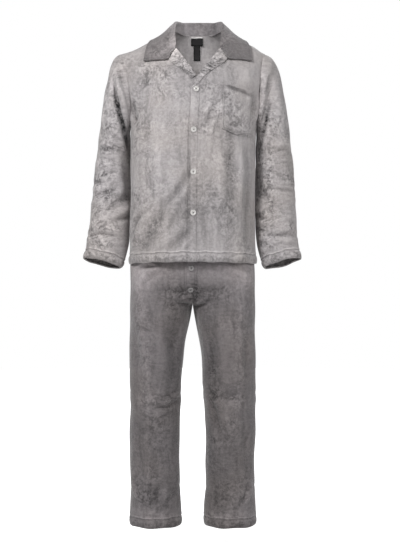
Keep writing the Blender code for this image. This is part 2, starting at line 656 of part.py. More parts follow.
def locate(surface, x, z, row, across):
    """Row and across of the surface's point that has this x and z."""
    for _ in range(30):
        here = surface([row], [across])[0, 0]
        by_row = (surface([row + 0.01], [across])[0, 0] - here) / 0.01
        by_across = (surface([row], [across + 0.01])[0, 0] - here) / 0.01
        matrix = np.array([[by_row[0], by_across[0]], [by_row[2], by_across[2]]])
        step = np.linalg.solve(matrix, [x - here[0], z - here[2]])
        row = row + float(np.clip(step[0], -1, 1))
        across = float(np.clip(across + np.clip(step[1], -0.3, 0.3), 0, 1))
    return row, across


def patch(surface, targets, thickness, guess, lift=LIFT, sign=1):
    """A piece that lies on a surface, both halves of which share one shape.

    targets is a grid of x and z, from the top row down; thickness is each row's wall.
    Gives its outside points and normals, its faces, and each point's wall.
    """
    points, normals = [], []
    for target_row in targets:
        row, across = guess
        for x, z in target_row:
            mirror = 1 if x >= 0 or surface is body else -1
            row, across = locate(surface, x * mirror, z, row, across)
            points.append(surface([row], [across])[0, 0] * [mirror, 1, 1])
            normals.append(slopes_out(surface, [row], [across], sign)[0, 0] * [mirror, 1, 1])
    points, normals = np.array(points), np.array(normals)
    columns = len(targets[0])
    thickness = np.repeat(thickness, columns)
    points = points + normals * (lift + thickness)[:, None]
    return points, normals, grid_faces(len(targets), columns, flip=True), thickness


def make_lapel(name, mirror, rise, first, cloth):
    """A facing turned back along the roll line; first is the place where it starts to show."""
    table = Track(LAPEL)(np.linspace(LAPEL[-1][0], first, LAPEL_ROWS))
    targets = [[(roll_x + (out_x - roll_x) * t, roll_z + (out_z - roll_z) * t)
                for t in np.linspace(0, 1, 4)] for roll_x, roll_z, out_x, out_z in table]
    points, normals, faces, thickness = patch(body, targets, np.full(LAPEL_ROWS, WALL),
                                              (GORGE_ROW, 0.0))
    points[:, 1] -= np.repeat(rise * (1 - smoothstep(table[:, 1], -0.16, -0.10)), 4)
    if mirror < 0:
        faces = [face[::-1] for face in faces]
    wall(name, sway(points, mirror), mirrored_normals(normals, mirror), faces, thickness, cloth)


def make_pocket(cloth):
    targets = []
    for _, left, right, left_z, middle_z, right_z in POCKET:
        row = []
        for t in np.linspace(0, 1, POCKET_COLUMNS + 1):
            level = left_z + (right_z - left_z) * t
            dip = middle_z - (left_z + right_z) / 2
            row.append((left + (right - left) * t, level + dip * (1 - abs(2 * t - 1))))
        targets.append(row)
    thickness = [HEM_WALL if row[0] < 0.95 else WALL for row in POCKET]
    points, normals, faces, thickness = patch(body, targets, thickness, (10, 0.5))
    wall("chest_pocket", sway(points), normals, faces, thickness, cloth)


# ================================================================ buttons and labels
def seat(tree, x, z):
    """Where a button's back lies on a surface, and which way the button faces.

    The button stands off by as much as the surface bulges towards its rim.
    """
    place, normal, _, _ = tree.ray_cast(Vector((x, -1.0, z)), Vector((0, 1, 0)))
    above = 2 * BUTTON_RADIUS
    bulge = 0.0
    for step in range(12):
        angle = step / 12 * 2 * math.pi
        reach = normal.orthogonal().normalized() * BUTTON_RADIUS
        reach.rotate(Quaternion(normal, angle))
        _, _, _, fall = tree.ray_cast(place + reach + normal * above, -normal)
        if fall is not None:
            bulge = max(bulge, above - fall)
    return place + normal * (bulge + SEAM_GAP), normal


def make_button(name, tree, x, z, material):
    """A four-hole button with a raised rim, lying on a surface at x, z."""
    centre, normal = seat(tree, x, z)
    work = bmesh.new()
    inner = BUTTON_RADIUS - BUTTON_RIM
    profile = [(0.0, 0.0), (BUTTON_RADIUS - 0.0006, 0.0), (BUTTON_RADIUS, 0.0008),
               (BUTTON_RADIUS, BUTTON_HEIGHT - 0.0008),
               (BUTTON_RADIUS - 0.0007, BUTTON_HEIGHT),
               (inner + 0.0006, BUTTON_HEIGHT), (inner, BUTTON_HEIGHT - 0.0011),
               (0.0, BUTTON_HEIGHT - 0.0011)]
    chain = [work.verts.new((radius, 0, height)) for radius, height in profile]
    edges = [work.edges.new(pair) for pair in zip(chain, chain[1:])]
    bmesh.ops.spin(work, geom=edges, cent=(0, 0, 0), axis=(0, 0, 1), angle=2 * math.pi,
                   steps=16)
    bmesh.ops.remove_doubles(work, verts=work.verts[:], dist=1e-6)
    bmesh.ops.recalc_face_normals(work, faces=work.faces[:])
    mesh = bpy.data.meshes.new(name)
    work.to_mesh(mesh)
    work.free()
    mesh.materials.append(material)
    button = bpy.data.objects.new(name, mesh)
    bpy.context.scene.collection.objects.link(button)
    button.rotation_mode = "QUATERNION"
    button.rotation_quaternion = Vector((0, 0, 1)).rotation_difference(normal)
    button.location = centre
    drill_holes(button)


def drill_holes(button):
    """Cuts the four thread holes with one exact Boolean."""
    work = bmesh.new()
    for side_x in (-1, 1):
        for side_y in (-1, 1):
            made = bmesh.ops.create_cone(work, cap_ends=True, segments=8, radius1=BUTTON_HOLE,
                                         radius2=BUTTON_HOLE, depth=4 * BUTTON_HEIGHT)
            offset = Vector((side_x, side_y, 0)) * BUTTON_HOLE_SPREAD
            bmesh.ops.translate(work, verts=made["verts"], vec=offset)
    mesh = bpy.data.meshes.new("drill")
    work.to_mesh(mesh)
    work.free()
    drill = bpy.data.objects.new("drill", mesh)
    bpy.context.scene.collection.objects.link(drill)
    drill.matrix_world = button.matrix_basis
    cut = button.modifiers.new("holes", "BOOLEAN")
    cut.operation = "DIFFERENCE"
    cut.object = drill
    bpy.context.view_layer.update()
    evaluated = button.evaluated_get(bpy.context.evaluated_depsgraph_get())
    finished = bpy.data.meshes.new_from_object(evaluated)
    button.modifiers.clear()
    button.data = finished
    bpy.data.objects.remove(drill)


def make_label(name, tree, size, material):
    """A label on the inside of the back, hanging below the nape."""
    width, height, top = size
    rows, columns = 4, 4
    centre = LABEL_CENTRE + float(sway_track(top)[0, 0])
    points = []
    for i in range(rows):
        for j in range(columns):
            x = centre + width * (j / (columns - 1) - 0.5)
            z = top - height * i / (rows - 1)
            hit, outward, _, _ = tree.ray_cast(Vector((x, -0.02, z)), Vector((0, 1, 0)))
            points.append(hit - outward * (WALL + LIFT + LABEL_WALL))
    grid = np.array(points).reshape(rows, columns, 3)
    along, down = np.gradient(grid, axis=1), np.gradient(grid, axis=0)
    normals = unit(np.cross(down, along)).reshape(-1, 3)
    wall(name, grid.reshape(-1, 3), normals, grid_faces(rows, columns, flip=True), LABEL_WALL,
         material, 0)


# ================================================================ trousers
def make_trousers(cloth):
    rows = np.array([*range(19), TROUSER_HEM_TOP - HEM_STEP, TROUSER_HEM_TOP,
                     TROUSER_HEM_ROW], float)
    across = np.linspace(0, 1, TROUSER_COLUMNS + 1)
    for part_name, face in (("front", 1), ("back", -1)):
        surface = trouser(face)
        sheet = surface(rows, across).reshape(-1, 3)
        outward = slopes_out(surface, rows, across, -face)
        outward[:, 0] = centre_seam_normals(outward[:, 0], rows)
        outward[:, -1] = unit(outward[:, -1] * np.array([1, 0, 1]))
        outward = outward.reshape(-1, 3)
        thickness = np.repeat(np.where(rows >= TROUSER_HEM_TOP, HEM_WALL, WALL), len(across))
        for side, mirror in (("left", 1), ("right", -1)):
            faces = grid_faces(len(rows), len(across), flip=face * mirror > 0)
            points = sheet * np.array([mirror, 1, 1])
            normals = mirrored_normals(outward, mirror)
            wall(f"trouser_{part_name}_{side}", points, normals, faces, thickness, cloth)


def centre_seam_normals(normals, rows):
    """Directions at the centre seam and inseam that both neighbours share."""
    seat = rows < CROTCH_ROW
    shared = normals.copy()
    shared[seat, 0] = 0.0
    shared[~seat, 1] = 0.0
    crotch = abs(rows - CROTCH_ROW) < 0.5
    shared[crotch] = np.array([0.0, 0.0, -1.0])
    return unit(shared)


def make_waistband(cloth):
    """A ring above the trousers' top edges, drawn in by its elastic."""
    steps = 16
    turns = np.arange(steps) / steps * 4
    top = []
    for turn in turns:
        quarter, t = int(turn), turn - int(turn)
        face = 1 if quarter in (0, 3) else -1
        across = t if quarter in (0, 2) else 1 - t
        point = trouser(face)([0.0], [across])[0, 0]
        point[0] *= 1 if quarter in (0, 1) else -1
        top.append(point)
    low = np.array(top)
    outward = unit(low * np.array([1, 1.6, 0]))
    high = low - outward * WAISTBAND_TAPER
    high[:, 2] += WAISTBAND_HEIGHT
    low[:, 2] += SEAM_GAP / 2
    points = np.vstack([low, (low + high) / 2 - outward * 0.001, high])
    normals = np.tile(outward, (3, 1))
    wall("waistband", points, normals, grid_faces(3, steps, wrap=True), WAISTBAND_WALL, cloth)


def make_fly(cloth, button_material):
    """The placket over the front seam, with its two buttons."""
    targets = [[(x, z) for x in FLY_COLUMNS] for z in np.linspace(*FLY_HEIGHT, FLY_ROWS)]
    points, normals, faces, thickness = patch(trouser(1), targets, np.full(FLY_ROWS, WALL),
                                              (1, 0.05), FLY_LIFT, sign=-1)
    wall("fly_placket", points, normals, faces, thickness, cloth)
    strip = surface_tree((points, faces))
    for number, (x, z) in enumerate(FLY_BUTTONS, 1):
        make_button(f"fly_button_{number}", strip, x, z, button_material)


# ================================================================ build
def build():
    for thing in list(bpy.data.objects):
        bpy.data.objects.remove(thing, do_unlink=True)
    shirt = cloth_material("shirt_plush", SHIRT_GREY)
    collar = cloth_material("collar_plush", COLLAR_GREY)
    trousers = cloth_material("trouser_plush", TROUSER_GREY)
    button = cloth_material("button_plastic", BUTTON_GREY, 0.35)
    label = cloth_material("label_cloth", LABEL_BLACK, 0.8)

    fronts = make_fronts(shirt)
    back = make_back(shirt)
    make_sleeve("sleeve_left", 1, shirt)
    make_sleeve("sleeve_right", -1, shirt)
    make_lapel("lapel_left", 1, LAP_RISE, LAPEL_START["left"], shirt)
    make_lapel("lapel_right", -1, -LAP_RISE, LAPEL_START["right"], shirt)
    make_collar(surface_tree(fronts["left"], fronts["right"], back), collar)
    make_pocket(shirt)
    left = surface_tree(fronts["left"])
    for number, (x, z) in enumerate(BUTTONS, 1):
        make_button(f"button_{number}", left, x + float(sway_track(z)[0, 0]), z, button)
    inside = surface_tree(back)
    make_label("neck_label", inside, NECK_LABEL, label)
    make_label("care_label", inside, CARE_LABEL, label)
    make_trousers(trousers)
    make_fly(trousers, button)
    make_waistband(trousers)


build()
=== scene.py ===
"""Dresses the pajama set's solids: plush cloth with hems, seams, stitching and soft folds,
pearly buttons and bare woven labels, in a plain pale studio. All sizes are in metres.
"""
import math

import bmesh
import bpy
import numpy as np
from bpy.props import FloatProperty, FloatVectorProperty, IntProperty, PointerProperty
from mathutils import Matrix, Vector


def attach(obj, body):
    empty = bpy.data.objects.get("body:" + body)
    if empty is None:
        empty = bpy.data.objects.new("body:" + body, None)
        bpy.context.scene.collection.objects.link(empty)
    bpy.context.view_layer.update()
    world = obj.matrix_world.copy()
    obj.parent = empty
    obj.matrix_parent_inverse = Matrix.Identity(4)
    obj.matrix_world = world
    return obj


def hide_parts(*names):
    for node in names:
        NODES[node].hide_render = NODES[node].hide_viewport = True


bl_info = {
    "name": "Pajama Set Dresser",
    "version": (1, 0, 0),
    "blender": (4, 5, 0),
    "location": "View3D > Sidebar > Pajamas",
    "description": "Dresses the solids of a pajama set in plush cloth, buttons and labels",
    "category": "Object",
}

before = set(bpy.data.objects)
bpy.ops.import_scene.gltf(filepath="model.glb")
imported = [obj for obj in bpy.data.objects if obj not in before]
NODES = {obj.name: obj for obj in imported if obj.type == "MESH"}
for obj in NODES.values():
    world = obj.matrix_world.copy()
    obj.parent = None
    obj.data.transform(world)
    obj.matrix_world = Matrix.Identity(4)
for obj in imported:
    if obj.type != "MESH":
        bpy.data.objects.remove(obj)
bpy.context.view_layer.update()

FRONT, BACK = Vector((0, -1, 0)), Vector((0, 1, 0))
TO_LEFT, TO_RIGHT = Vector((1, 0, 0)), Vector((-1, 0, 0))

# ================================================================ sheets
WELD = 2e-5                  # corners of the solids' triangles closer than this are one
RIM_ANGLE = math.radians(60)  # a wall's side ends where it turns more than this
LEDGE = 0.003                # steps in a solid's side that are lower than this are closed
FITS = 8                     # rounds that draw a smooth surface through the coarse points
FAR = 0.05                   # distances from an edge or stitch line are kept up to this
WAVES = 7                    # waves added up for the cloth's broad unevenness
GOLDEN_TURN = 2.39996        # from one wave's direction to the next
SHIRT_PITCHES = (9.0, 9.0, 5.0)  # waves a metre across, from front to back, and up
SLEEVE_PITCHES = (14.0, 14.0, 9.0)
TROUSER_PITCHES = (10.0, 10.0, 6.0)
SEAM_REACH = 0.0004          # how far a piece reaches over a seam's gap
SLEEVE_TUCK = 0.0018         # how far the sleeves reach under the shirt's panels
LEG_TUCK = 0.0009            # and how far the trousers' panels reach over each other
NECK_GAP = 0.0030            # the gap that the collar's stand closes behind the neck
BEVEL_ANGLE = math.radians(60)  # edges of a wall that turn more than this are rounded
BEVEL_SHARE = 0.2            # by this share of the wall

# ================================================================ folds and nap
# cosines between the cloth and the side that a fold or spot is seen from, where it has
# nothing of it and where it has all of it
FOLD_FACING, NAP_FACING = (0.05, 0.45), (0.0, 0.5)
FOLD_END = 0.35              # a fold's strength where it starts and ends
TROUGH_SHOULDERS = (-1.9, 1.9)  # half widths from a trough's middle to its raised shoulders
SHOULDER_HEIGHT = 0.3
RIDGE_RIGHT, RIDGE_LEFT = 1.35, 0.75  # a ridge is wider to the right of its run

# ================================================================ hems, seams and stitching
RIM_WAVE = 0.0011            # how far a hem's lower edge and its stitches wave up and down
RIM_PITCH = 0.085            # from one of these waves to the next
ROLL_POWER = 0.7             # how round a hem's roll is; below 1 is fuller
STRIP_PUFF = 0.35            # the front strip's puff, as a share of a hem's
RIDGE_PLACE, RIDGE_WIDTH = 0.0045, 0.0032  # of the ridge above a hem's stitches
PUCKER = 0.019               # from one pucker to the next along a line of stitches
HEM_PULL, STRIP_PULL, EDGE_PULL = 0.005, 0.004, 0.003  # how wide a line's furrow is
# These paint light and shade onto hems: a roll darker low and lighter high, the ridge over it
# lighter, its stitches' furrow darker.
ROLL_SHADE, RIDGE_SHADE, PULL_SHADE = 11, 4, 2.5  # added to the fold height that shades
ROLL_CRUSH = 0.6             # how far the nap is crushed on a hem's roll
SEAM_SINK = 0.0005           # how far cloth sinks at its seams
SEAM_WIDTH, SEAM_CALM = 0.003, 0.008  # of the furrow, and of the end of a roll beside it
STITCH_WIDTH, STITCH_LENGTH = 0.0011, 0.0038

# ================================================================ places on the solids
SHIRT_HEM, CUFF_HEM, TROUSER_HEM = -0.66, -0.6, -1.5  # hems' open edges lie below these
LEVEL, UPRIGHT = 0.6, 0.7    # level edges rise less than this, and upright ones more
ARMHOLE = -0.4               # a sleeve's armhole lies above this
OPENING_MIDDLE, OPENING_HALF, OPENING_TOP, OPENING_BACK = 0.01, 0.045, -0.15, 0.02
NECK_MIDDLE, NECK_HALF, NECK_BOTTOM = 0.015, 0.075, -0.2
RING_MIDDLE, RING_HALF, RING_BACK, RING_BOTTOM = 0.018, 0.084, 0.0655, -0.0665
GORGE_FRONT, GORGE_BOTTOM, GORGE_WELD = -0.05, -0.072, 0.009  # where lapels meet the collar

# ================================================================ labels and buttons
LABEL_BORDER = 0.003
LABEL_LIFT = 0.0016          # how far the labels lie off their solids
LABEL_LEVELS = 3
LABEL_TOP = 0.006            # a label's top edge lies no further than this below its top
DARK_THREAD = (0.045, 0.042, 0.042)
# across the axis and along it, as shares of the button's radius and half thickness
BUTTON_PROFILE = ((0, 0.1), (0.5, 0.1), (0.6, 0.3), (0.68, 0.85), (0.8, 1.0), (0.92, 0.8),
                  (1.0, 0.2), (0.97, -0.6), (0.8, -1.0), (0, -1.0))
BUTTON_STEPS = 40
BUTTON_FIT = 0.985           # the plastic's radius, as a share of its solid's
HOLE_PLACE, HOLE_RADIUS = 0.26, 0.11  # as shares of the radius
THREAD_RADIUS, THREAD_HEIGHT = 0.28, 0.25  # as shares of the half thickness

# ================================================================ studio
COOL = (0.988, 0.998, 1.015)  # the plush's tint where its nap shines coolest
WARM = (1.010, 0.998, 0.982)  # and where it shines warmest
FLOOR_RADIUS = 6.0
LIT_POINT = (0.02, 0, -0.75)
NECK_POINT = (0.008, 0.05, -0.072)  # the middle of what shows inside the neck
NECK_LIGHT_PLACE, NECK_LIGHT_CONE = (0.0, -2.6, 0.1), math.radians(4.2)
LIGHTS = (("key_light", (-1.3, -2.1, 1.0), "key_power", 0.8),  # name, place, setting, size
          ("fill_light", (1.8, -2.3, 0.4), "fill_power", 1.6),
          ("back_light", (0.6, 2.8, 0.6), "back_power", 2.0))
SENSOR = 36.0                # height of the camera's sensor in millimetres

# ================================================================ cuts: width, length, area
FRONT_CUT = (0.335, 0.765), 0.205
BACK_CUT = (0.60, 0.78), 0.39
SLEEVE_CUT = (0.42, 0.72), 0.24
COLLAR_CUT = (0.56, 0.13), 0.060
LAPEL_CUT = (0.10, 0.14), 0.0048
POCKET_CUT = (0.125, 0.17), 0.018
LEG_CUT = (0.34, 1.05), 0.265
WAIST_CUT = (1.05, 0.04), 0.0375
FLY_CUT = (0.045, 0.26), 0.0102

# streaks, mottling and ripples of each plush's nap
PLUSH_NAPS = {"shirt_plush_grey": (0.5, 1.2, 0.12), "lapel_plush_grey": (0.1, 1.9, 0.6),
              "sleeve_plush_grey": (0.1, 1.6, 0.5), "collar_plush_grey": (0.2, 1.7, 0.3),
              "trouser_plush_grey": (0.5, 1.4, 0.4)}
COLOUR = {"size": 3, "min": 0, "max": 1, "subtype": "COLOR"}


# ================================================================ settings
class PajamaClothSettings(bpy.types.PropertyGroup):
    """Walls, hems and stitching of the cloth."""

    wall: FloatProperty(name="Wall", description="Thickness of the plush cloth",
                        default=0.0025, min=0.001, max=0.006, unit="LENGTH")
    hem_wall: FloatProperty(name="Hem wall", description="Thickness of the turned-up hems",
                            default=0.0042, min=0.002, max=0.008, unit="LENGTH")
    collar_wall: FloatProperty(name="Collar wall", description="Thickness of the collar",
                               default=0.0040, min=0.002, max=0.008, unit="LENGTH")
    label_wall: FloatProperty(name="Label wall", description="Thickness of the labels",
                              default=0.0010, min=0.0004, max=0.002, unit="LENGTH")
    hem: FloatProperty(name="Hem", description="Height of hems and width of the front strip",
                       default=0.028, min=0.01, max=0.06, unit="LENGTH")
    edge_stitch: FloatProperty(name="Edge stitch", description="From an edge to its topstitch",
                               default=0.005, min=0.001, max=0.02, unit="LENGTH")
    puff: FloatProperty(name="Puff", description="How far a hem's roll stands proud",
                        default=0.0032, min=0.0, max=0.005, unit="LENGTH")
    pinch: FloatProperty(name="Pinch", description="How deep a line of stitches pulls in",
                         default=0.0012, min=0.0, max=0.004, unit="LENGTH")
    hem_ridge: FloatProperty(name="Hem ridge", description="Height of the ridge over a hem",
                             default=0.0014, min=0.0, max=0.004, unit="LENGTH")
    waves: FloatProperty(name="Waves", description="Height of the cloth's broad unevenness",
                         default=0.0016, min=0.0, max=0.006, unit="LENGTH")
    fold_depth: FloatProperty(name="Fold depth", description="Depth of the folds, as a factor",
                              default=1.5, min=0.0, max=3.0, subtype="FACTOR")
    levels: IntProperty(name="Levels", description="Subdivisions of the cloth", default=3,
                        min=1, max=4)


class PajamaColourSettings(bpy.types.PropertyGroup):
    """Colours of the cloth, buttons and labels."""

    shirt: FloatVectorProperty(name="Shirt", description="Plush of the shirt",
                               default=(0.345, 0.322, 0.320), **COLOUR)
    collar: FloatVectorProperty(name="Collar", description="Plush of the collar",
                                default=(0.152, 0.140, 0.142), **COLOUR)
    trousers: FloatVectorProperty(name="Trousers", description="Plush of the trousers",
                                  default=(0.150, 0.136, 0.137), **COLOUR)
    button: FloatVectorProperty(name="Buttons", description="Pearly plastic",
                                default=(0.52, 0.505, 0.49), **COLOUR)
    fly_button: FloatVectorProperty(name="Fly buttons", description="Smoky plastic",
                                    default=(0.22, 0.21, 0.21), **COLOUR)
    label: FloatVectorProperty(name="Labels", description="Black woven satin",
                               default=(0.004, 0.004, 0.004), **COLOUR)
    label_field: FloatVectorProperty(name="Label field", description="Middle of the labels",
                                     default=(0.014, 0.013, 0.014), **COLOUR)
    loop: FloatVectorProperty(name="Label loop", description="Strip along the neck label's top",
                              default=(0.80, 0.78, 0.77), **COLOUR)
    thread: FloatProperty(name="Thread", description="How much lighter thread is than cloth",
                          default=0.12, min=0.0, max=1.0, subtype="FACTOR")
    mottling: FloatProperty(name="Mottling", description="Contrast of the crushed nap",
                            default=1.0, min=0.0, max=2.0, subtype="FACTOR")


class PajamaStudioSettings(bpy.types.PropertyGroup):
    """Camera, lights and floor."""

    camera_place: FloatVectorProperty(name="Camera", description="Place of the camera",
                                      default=(0.024, -3.2, -0.793), size=3,
                                      subtype="TRANSLATION", unit="LENGTH")
    lens: FloatProperty(name="Lens", description="Focal length in millimetres",
                        default=64.45, min=10, max=300)
    floor_height: FloatProperty(name="Floor", description="Height of the floor",
                                default=-1.66, unit="LENGTH")
    key_power: FloatProperty(name="Key light", description="Power of the main light in watts",
                             default=62.0, min=0, max=1000)
    fill_power: FloatProperty(name="Fill light", description="Power of the second light",
                              default=31.0, min=0, max=1000)
    neck_power: FloatProperty(name="Neck light", description="Power of the light into the neck",
                              default=190.0, min=0, max=1000)
    back_power: FloatProperty(name="Back light", description="Power of the light behind",
                              default=30.0, min=0, max=1000)
    ambient: FloatProperty(name="Ambient", description="Brightness of the room's walls",
                           default=0.31, min=0, max=3)


# ================================================================ folds
# Each fold runs over the cloth as seen from one side: across is x from the front or the
# back and y from a side. A row gives across and z at its start, across and z at its end,
# its bow (how far its middle lies to the right of its run) and its half width in
# millimetres, and its height (below 0 for a trough) in tenths of a millimetre.
def fold_rows(*sides):
    """The sides' folds in one list, their places in metres and heights in millimetres."""
    return [(side, *(place / 1000 for place in row[:4]), *row[4:6], row[6] / 10)
            for side, rows in sides for row in rows]


TORSO_FOLDS = fold_rows(
    (FRONT, [(-206, -196, -200, -264, 2, 6, -40), (-190, -239, -181, -308, 0, 8, -35),
     (-198, -271, -192, -321, 0, 6, 25), (-176, -292, -192, -318, 0, 6, -30),
     (-7, -468, -89, -577, -9, 11, -65), (-17, -505, -76, -596, -6, 13, 45),
     (-92, -577, -145, -702, -6, 16, -50), (-51, -577, -107, -684, 0, 14, 30),
     (-126, -602, -186, -705, 16, 9, 55), (-161, -602, -186, -677, 6, 8, -50),
     (-111, -608, -154, -715, 9, 11, -40), (-148, -583, -176, -612, 3, 6, 35),
     (-26, -627, -107, -712, -6, 10, 45), (-14, -658, -70, -715, -3, 11, -55),
     (-7, -687, -32, -712, 0, 6, 35), (-136, -402, -145, -574, -6, 19, -30),
     (-101, -308, -107, -558, 6, 22, 30), (-64, -277, -64, -449, -3, 16, -20),
     (-35, -230, -42, -402, 3, 13, 20), (-139, -127, -157, -196, -3, 13, -20),
     (30, -264, 27, -333, 0, 8, -35), (71, -271, 46, -333, 3, 9, -50),
     (90, -264, 62, -339, 3, 9, 40), (58, -333, 49, -421, -3, 9, 30),
     (27, -585, 115, -585, -3, 5, -12), (27, -577, 115, -576, -3, 6, 10),
     (77, -364, 93, -571, -6, 19, 40), (115, -396, 127, -577, -6, 16, -40),
     (146, -371, 155, -558, -3, 14, 30), (180, -402, 180, -715, 6, 14, -50),
     (198, -221, 191, -286, 0, 7, -32), (221, -283, 199, -330, 0, 8, -35),
     (209, -233, 199, -308, 0, 6, 35), (40, -596, 62, -715, 6, 13, -30),
     (68, -602, 90, -715, 6, 14, 30), (137, -605, 143, -715, -3, 16, 25),
     (115, -136, 159, -177, 6, 16, -25), (105, -196, 187, -219, 0, 4, 16),
     (105, -202, 177, -225, 0, 5, -8), (102, -217, 180, -238, 0, 4, 14),
     (94, -258, 96, -333, 0, 5, 18), (102, -336, 171, -356, -3, 4, -16),
     (168, -139, 180, -196, 0, 13, 25)]),
    (BACK, [(-155, -150, -120, -330, 8, 16, -30), (160, -165, 118, -350, -8, 17, -32),
     (-118, -170, -88, -360, 6, 18, 24), (105, -190, 82, -390, -5, 16, 22),
     (-198, -205, -176, -300, 2, 7, -40), (-186, -230, -160, -335, 0, 8, 28),
     (200, -210, 172, -310, 0, 7, -42), (188, -255, 158, -350, 2, 8, 26),
     (-30, -60, -70, -150, -4, 12, -18), (40, -70, 75, -160, 4, 12, -18),
     (-120, -440, 20, -462, -8, 12, -28), (-90, -470, 60, -484, 6, 13, 26),
     (-20, -505, 135, -492, 7, 11, -26), (-150, -420, -160, -600, 6, 15, 34),
     (-125, -500, -140, -700, 5, 16, -46), (-78, -520, -85, -712, -6, 17, 38),
     (-30, -560, -34, -712, 4, 15, -36), (20, -545, 30, -712, -5, 17, 32),
     (72, -575, 70, -712, 4, 14, -40), (112, -520, 122, -700, -6, 17, 40),
     (155, -450, 160, -700, 5, 15, -44), (182, -400, 186, -560, 0, 12, 28)]),
    (TO_RIGHT, [(-30, -330, -12, -560, 5, 13, -18), (28, -380, 34, -690, -4, 14, 16)]),
    (TO_LEFT, [(-24, -340, -10, -600, 4, 13, -17), (34, -360, 26, -700, 5, 15, 15)]))
RIGHT_SLEEVE_FOLDS = fold_rows(
    (FRONT, [(-255, -141, -281, -321, -6, 13, 52), (-230, -141, -218, -193, 0, 7, -45),
     (-239, -180, -210, -270, -3, 8, 45), (-246, -209, -204, -398, 3, 6, -40),
     (-307, -369, -255, -382, -3, 6, 33), (-307, -385, -249, -395, -3, 5, -36),
     (-300, -405, -239, -418, 3, 6, 30), (-323, -511, -262, -491, 6, 6, 36),
     (-316, -530, -246, -514, 6, 7, -42), (-207, -527, -255, -572, -6, 13, -60),
     (-204, -572, -249, -597, -6, 8, 45), (-204, -597, -258, -620, -6, 7, -40),
     (-323, -613, -242, -600, 6, 7, 33), (-326, -655, -230, -658, -10, 6, 42),
     (-329, -668, -233, -677, -10, 5, -48), (-326, -684, -239, -694, -6, 6, 33),
     (-223, -424, -210, -514, 0, 10, -40), (-271, -263, -287, -353, 0, 13, -38)]),
    (BACK, [(-250, -150, -285, -330, 6, 14, 30), (-225, -190, -235, -320, 0, 10, -32),
     (-300, -400, -240, -424, 4, 7, -26), (-302, -424, -246, -446, 4, 8, 24),
     (-318, -470, -250, -452, -5, 8, -26), (-216, -500, -262, -548, -5, 12, -42),
     (-214, -545, -268, -580, 4, 10, 30), (-322, -590, -262, -604, 5, 7, -26),
     (-326, -650, -240, -662, 8, 6, 26), (-328, -667, -242, -678, 8, 5, -28)]),
    (TO_RIGHT, [(-40, -180, -20, -330, 4, 13, -13), (20, -210, 30, -380, 3, 14, 13),
     (-50, -394, 20, -412, 5, 7, -12), (-46, -506, 34, -496, -5, 8, -13),
     (-30, -540, 40, -560, 5, 9, 12), (-46, -656, 30, -662, 6, 6, -12)]))
LEFT_SLEEVE_FOLDS = fold_rows(
    (FRONT, [(271, -148, 294, -302, 6, 13, 52), (249, -154, 239, -212, 0, 7, -45),
     (258, -193, 233, -289, 3, 8, 45), (245, -235, 218, -373, -3, 6, -35),
     (316, -373, 255, -385, 3, 6, 33), (316, -389, 255, -405, 3, 5, -36),
     (310, -424, 242, -424, -3, 6, 27), (322, -498, 265, -482, -6, 7, 39),
     (326, -520, 255, -511, -6, 7, -42), (210, -507, 255, -552, 6, 14, -60),
     (207, -568, 249, -588, 6, 8, 40), (207, -597, 261, -616, 6, 7, -40),
     (326, -604, 242, -620, -6, 7, 33), (329, -655, 233, -661, 10, 6, 42),
     (332, -671, 236, -677, 10, 5, -48), (329, -687, 242, -697, 6, 6, 33),
     (223, -392, 217, -488, 0, 11, -45), (255, -328, 268, -366, 0, 10, -38)]),
    (BACK, [(262, -160, 290, -320, -6, 13, 30), (236, -200, 240, -340, 0, 11, -32),
     (308, -385, 250, -402, -4, 7, -24), (304, -408, 246, -434, 4, 8, 26),
     (318, -486, 256, -470, 5, 8, -28), (218, -514, 258, -566, 5, 12, -40),
     (216, -560, 270, -596, -4, 10, 30), (326, -606, 262, -616, -5, 7, -24),
     (330, -648, 244, -658, -8, 6, 24), (330, -665, 246, -679, -8, 5, -28)]),
    (TO_LEFT, [(-38, -190, -18, -350, -4, 13, -13), (24, -200, 34, -390, 3, 14, 13),
     (-48, -404, 26, -390, 5, 7, -12), (-44, -500, 36, -514, -5, 8, -13),
     (-30, -552, 38, -540, 5, 9, 12), (-44, -650, 32, -664, 6, 6, -12)]))
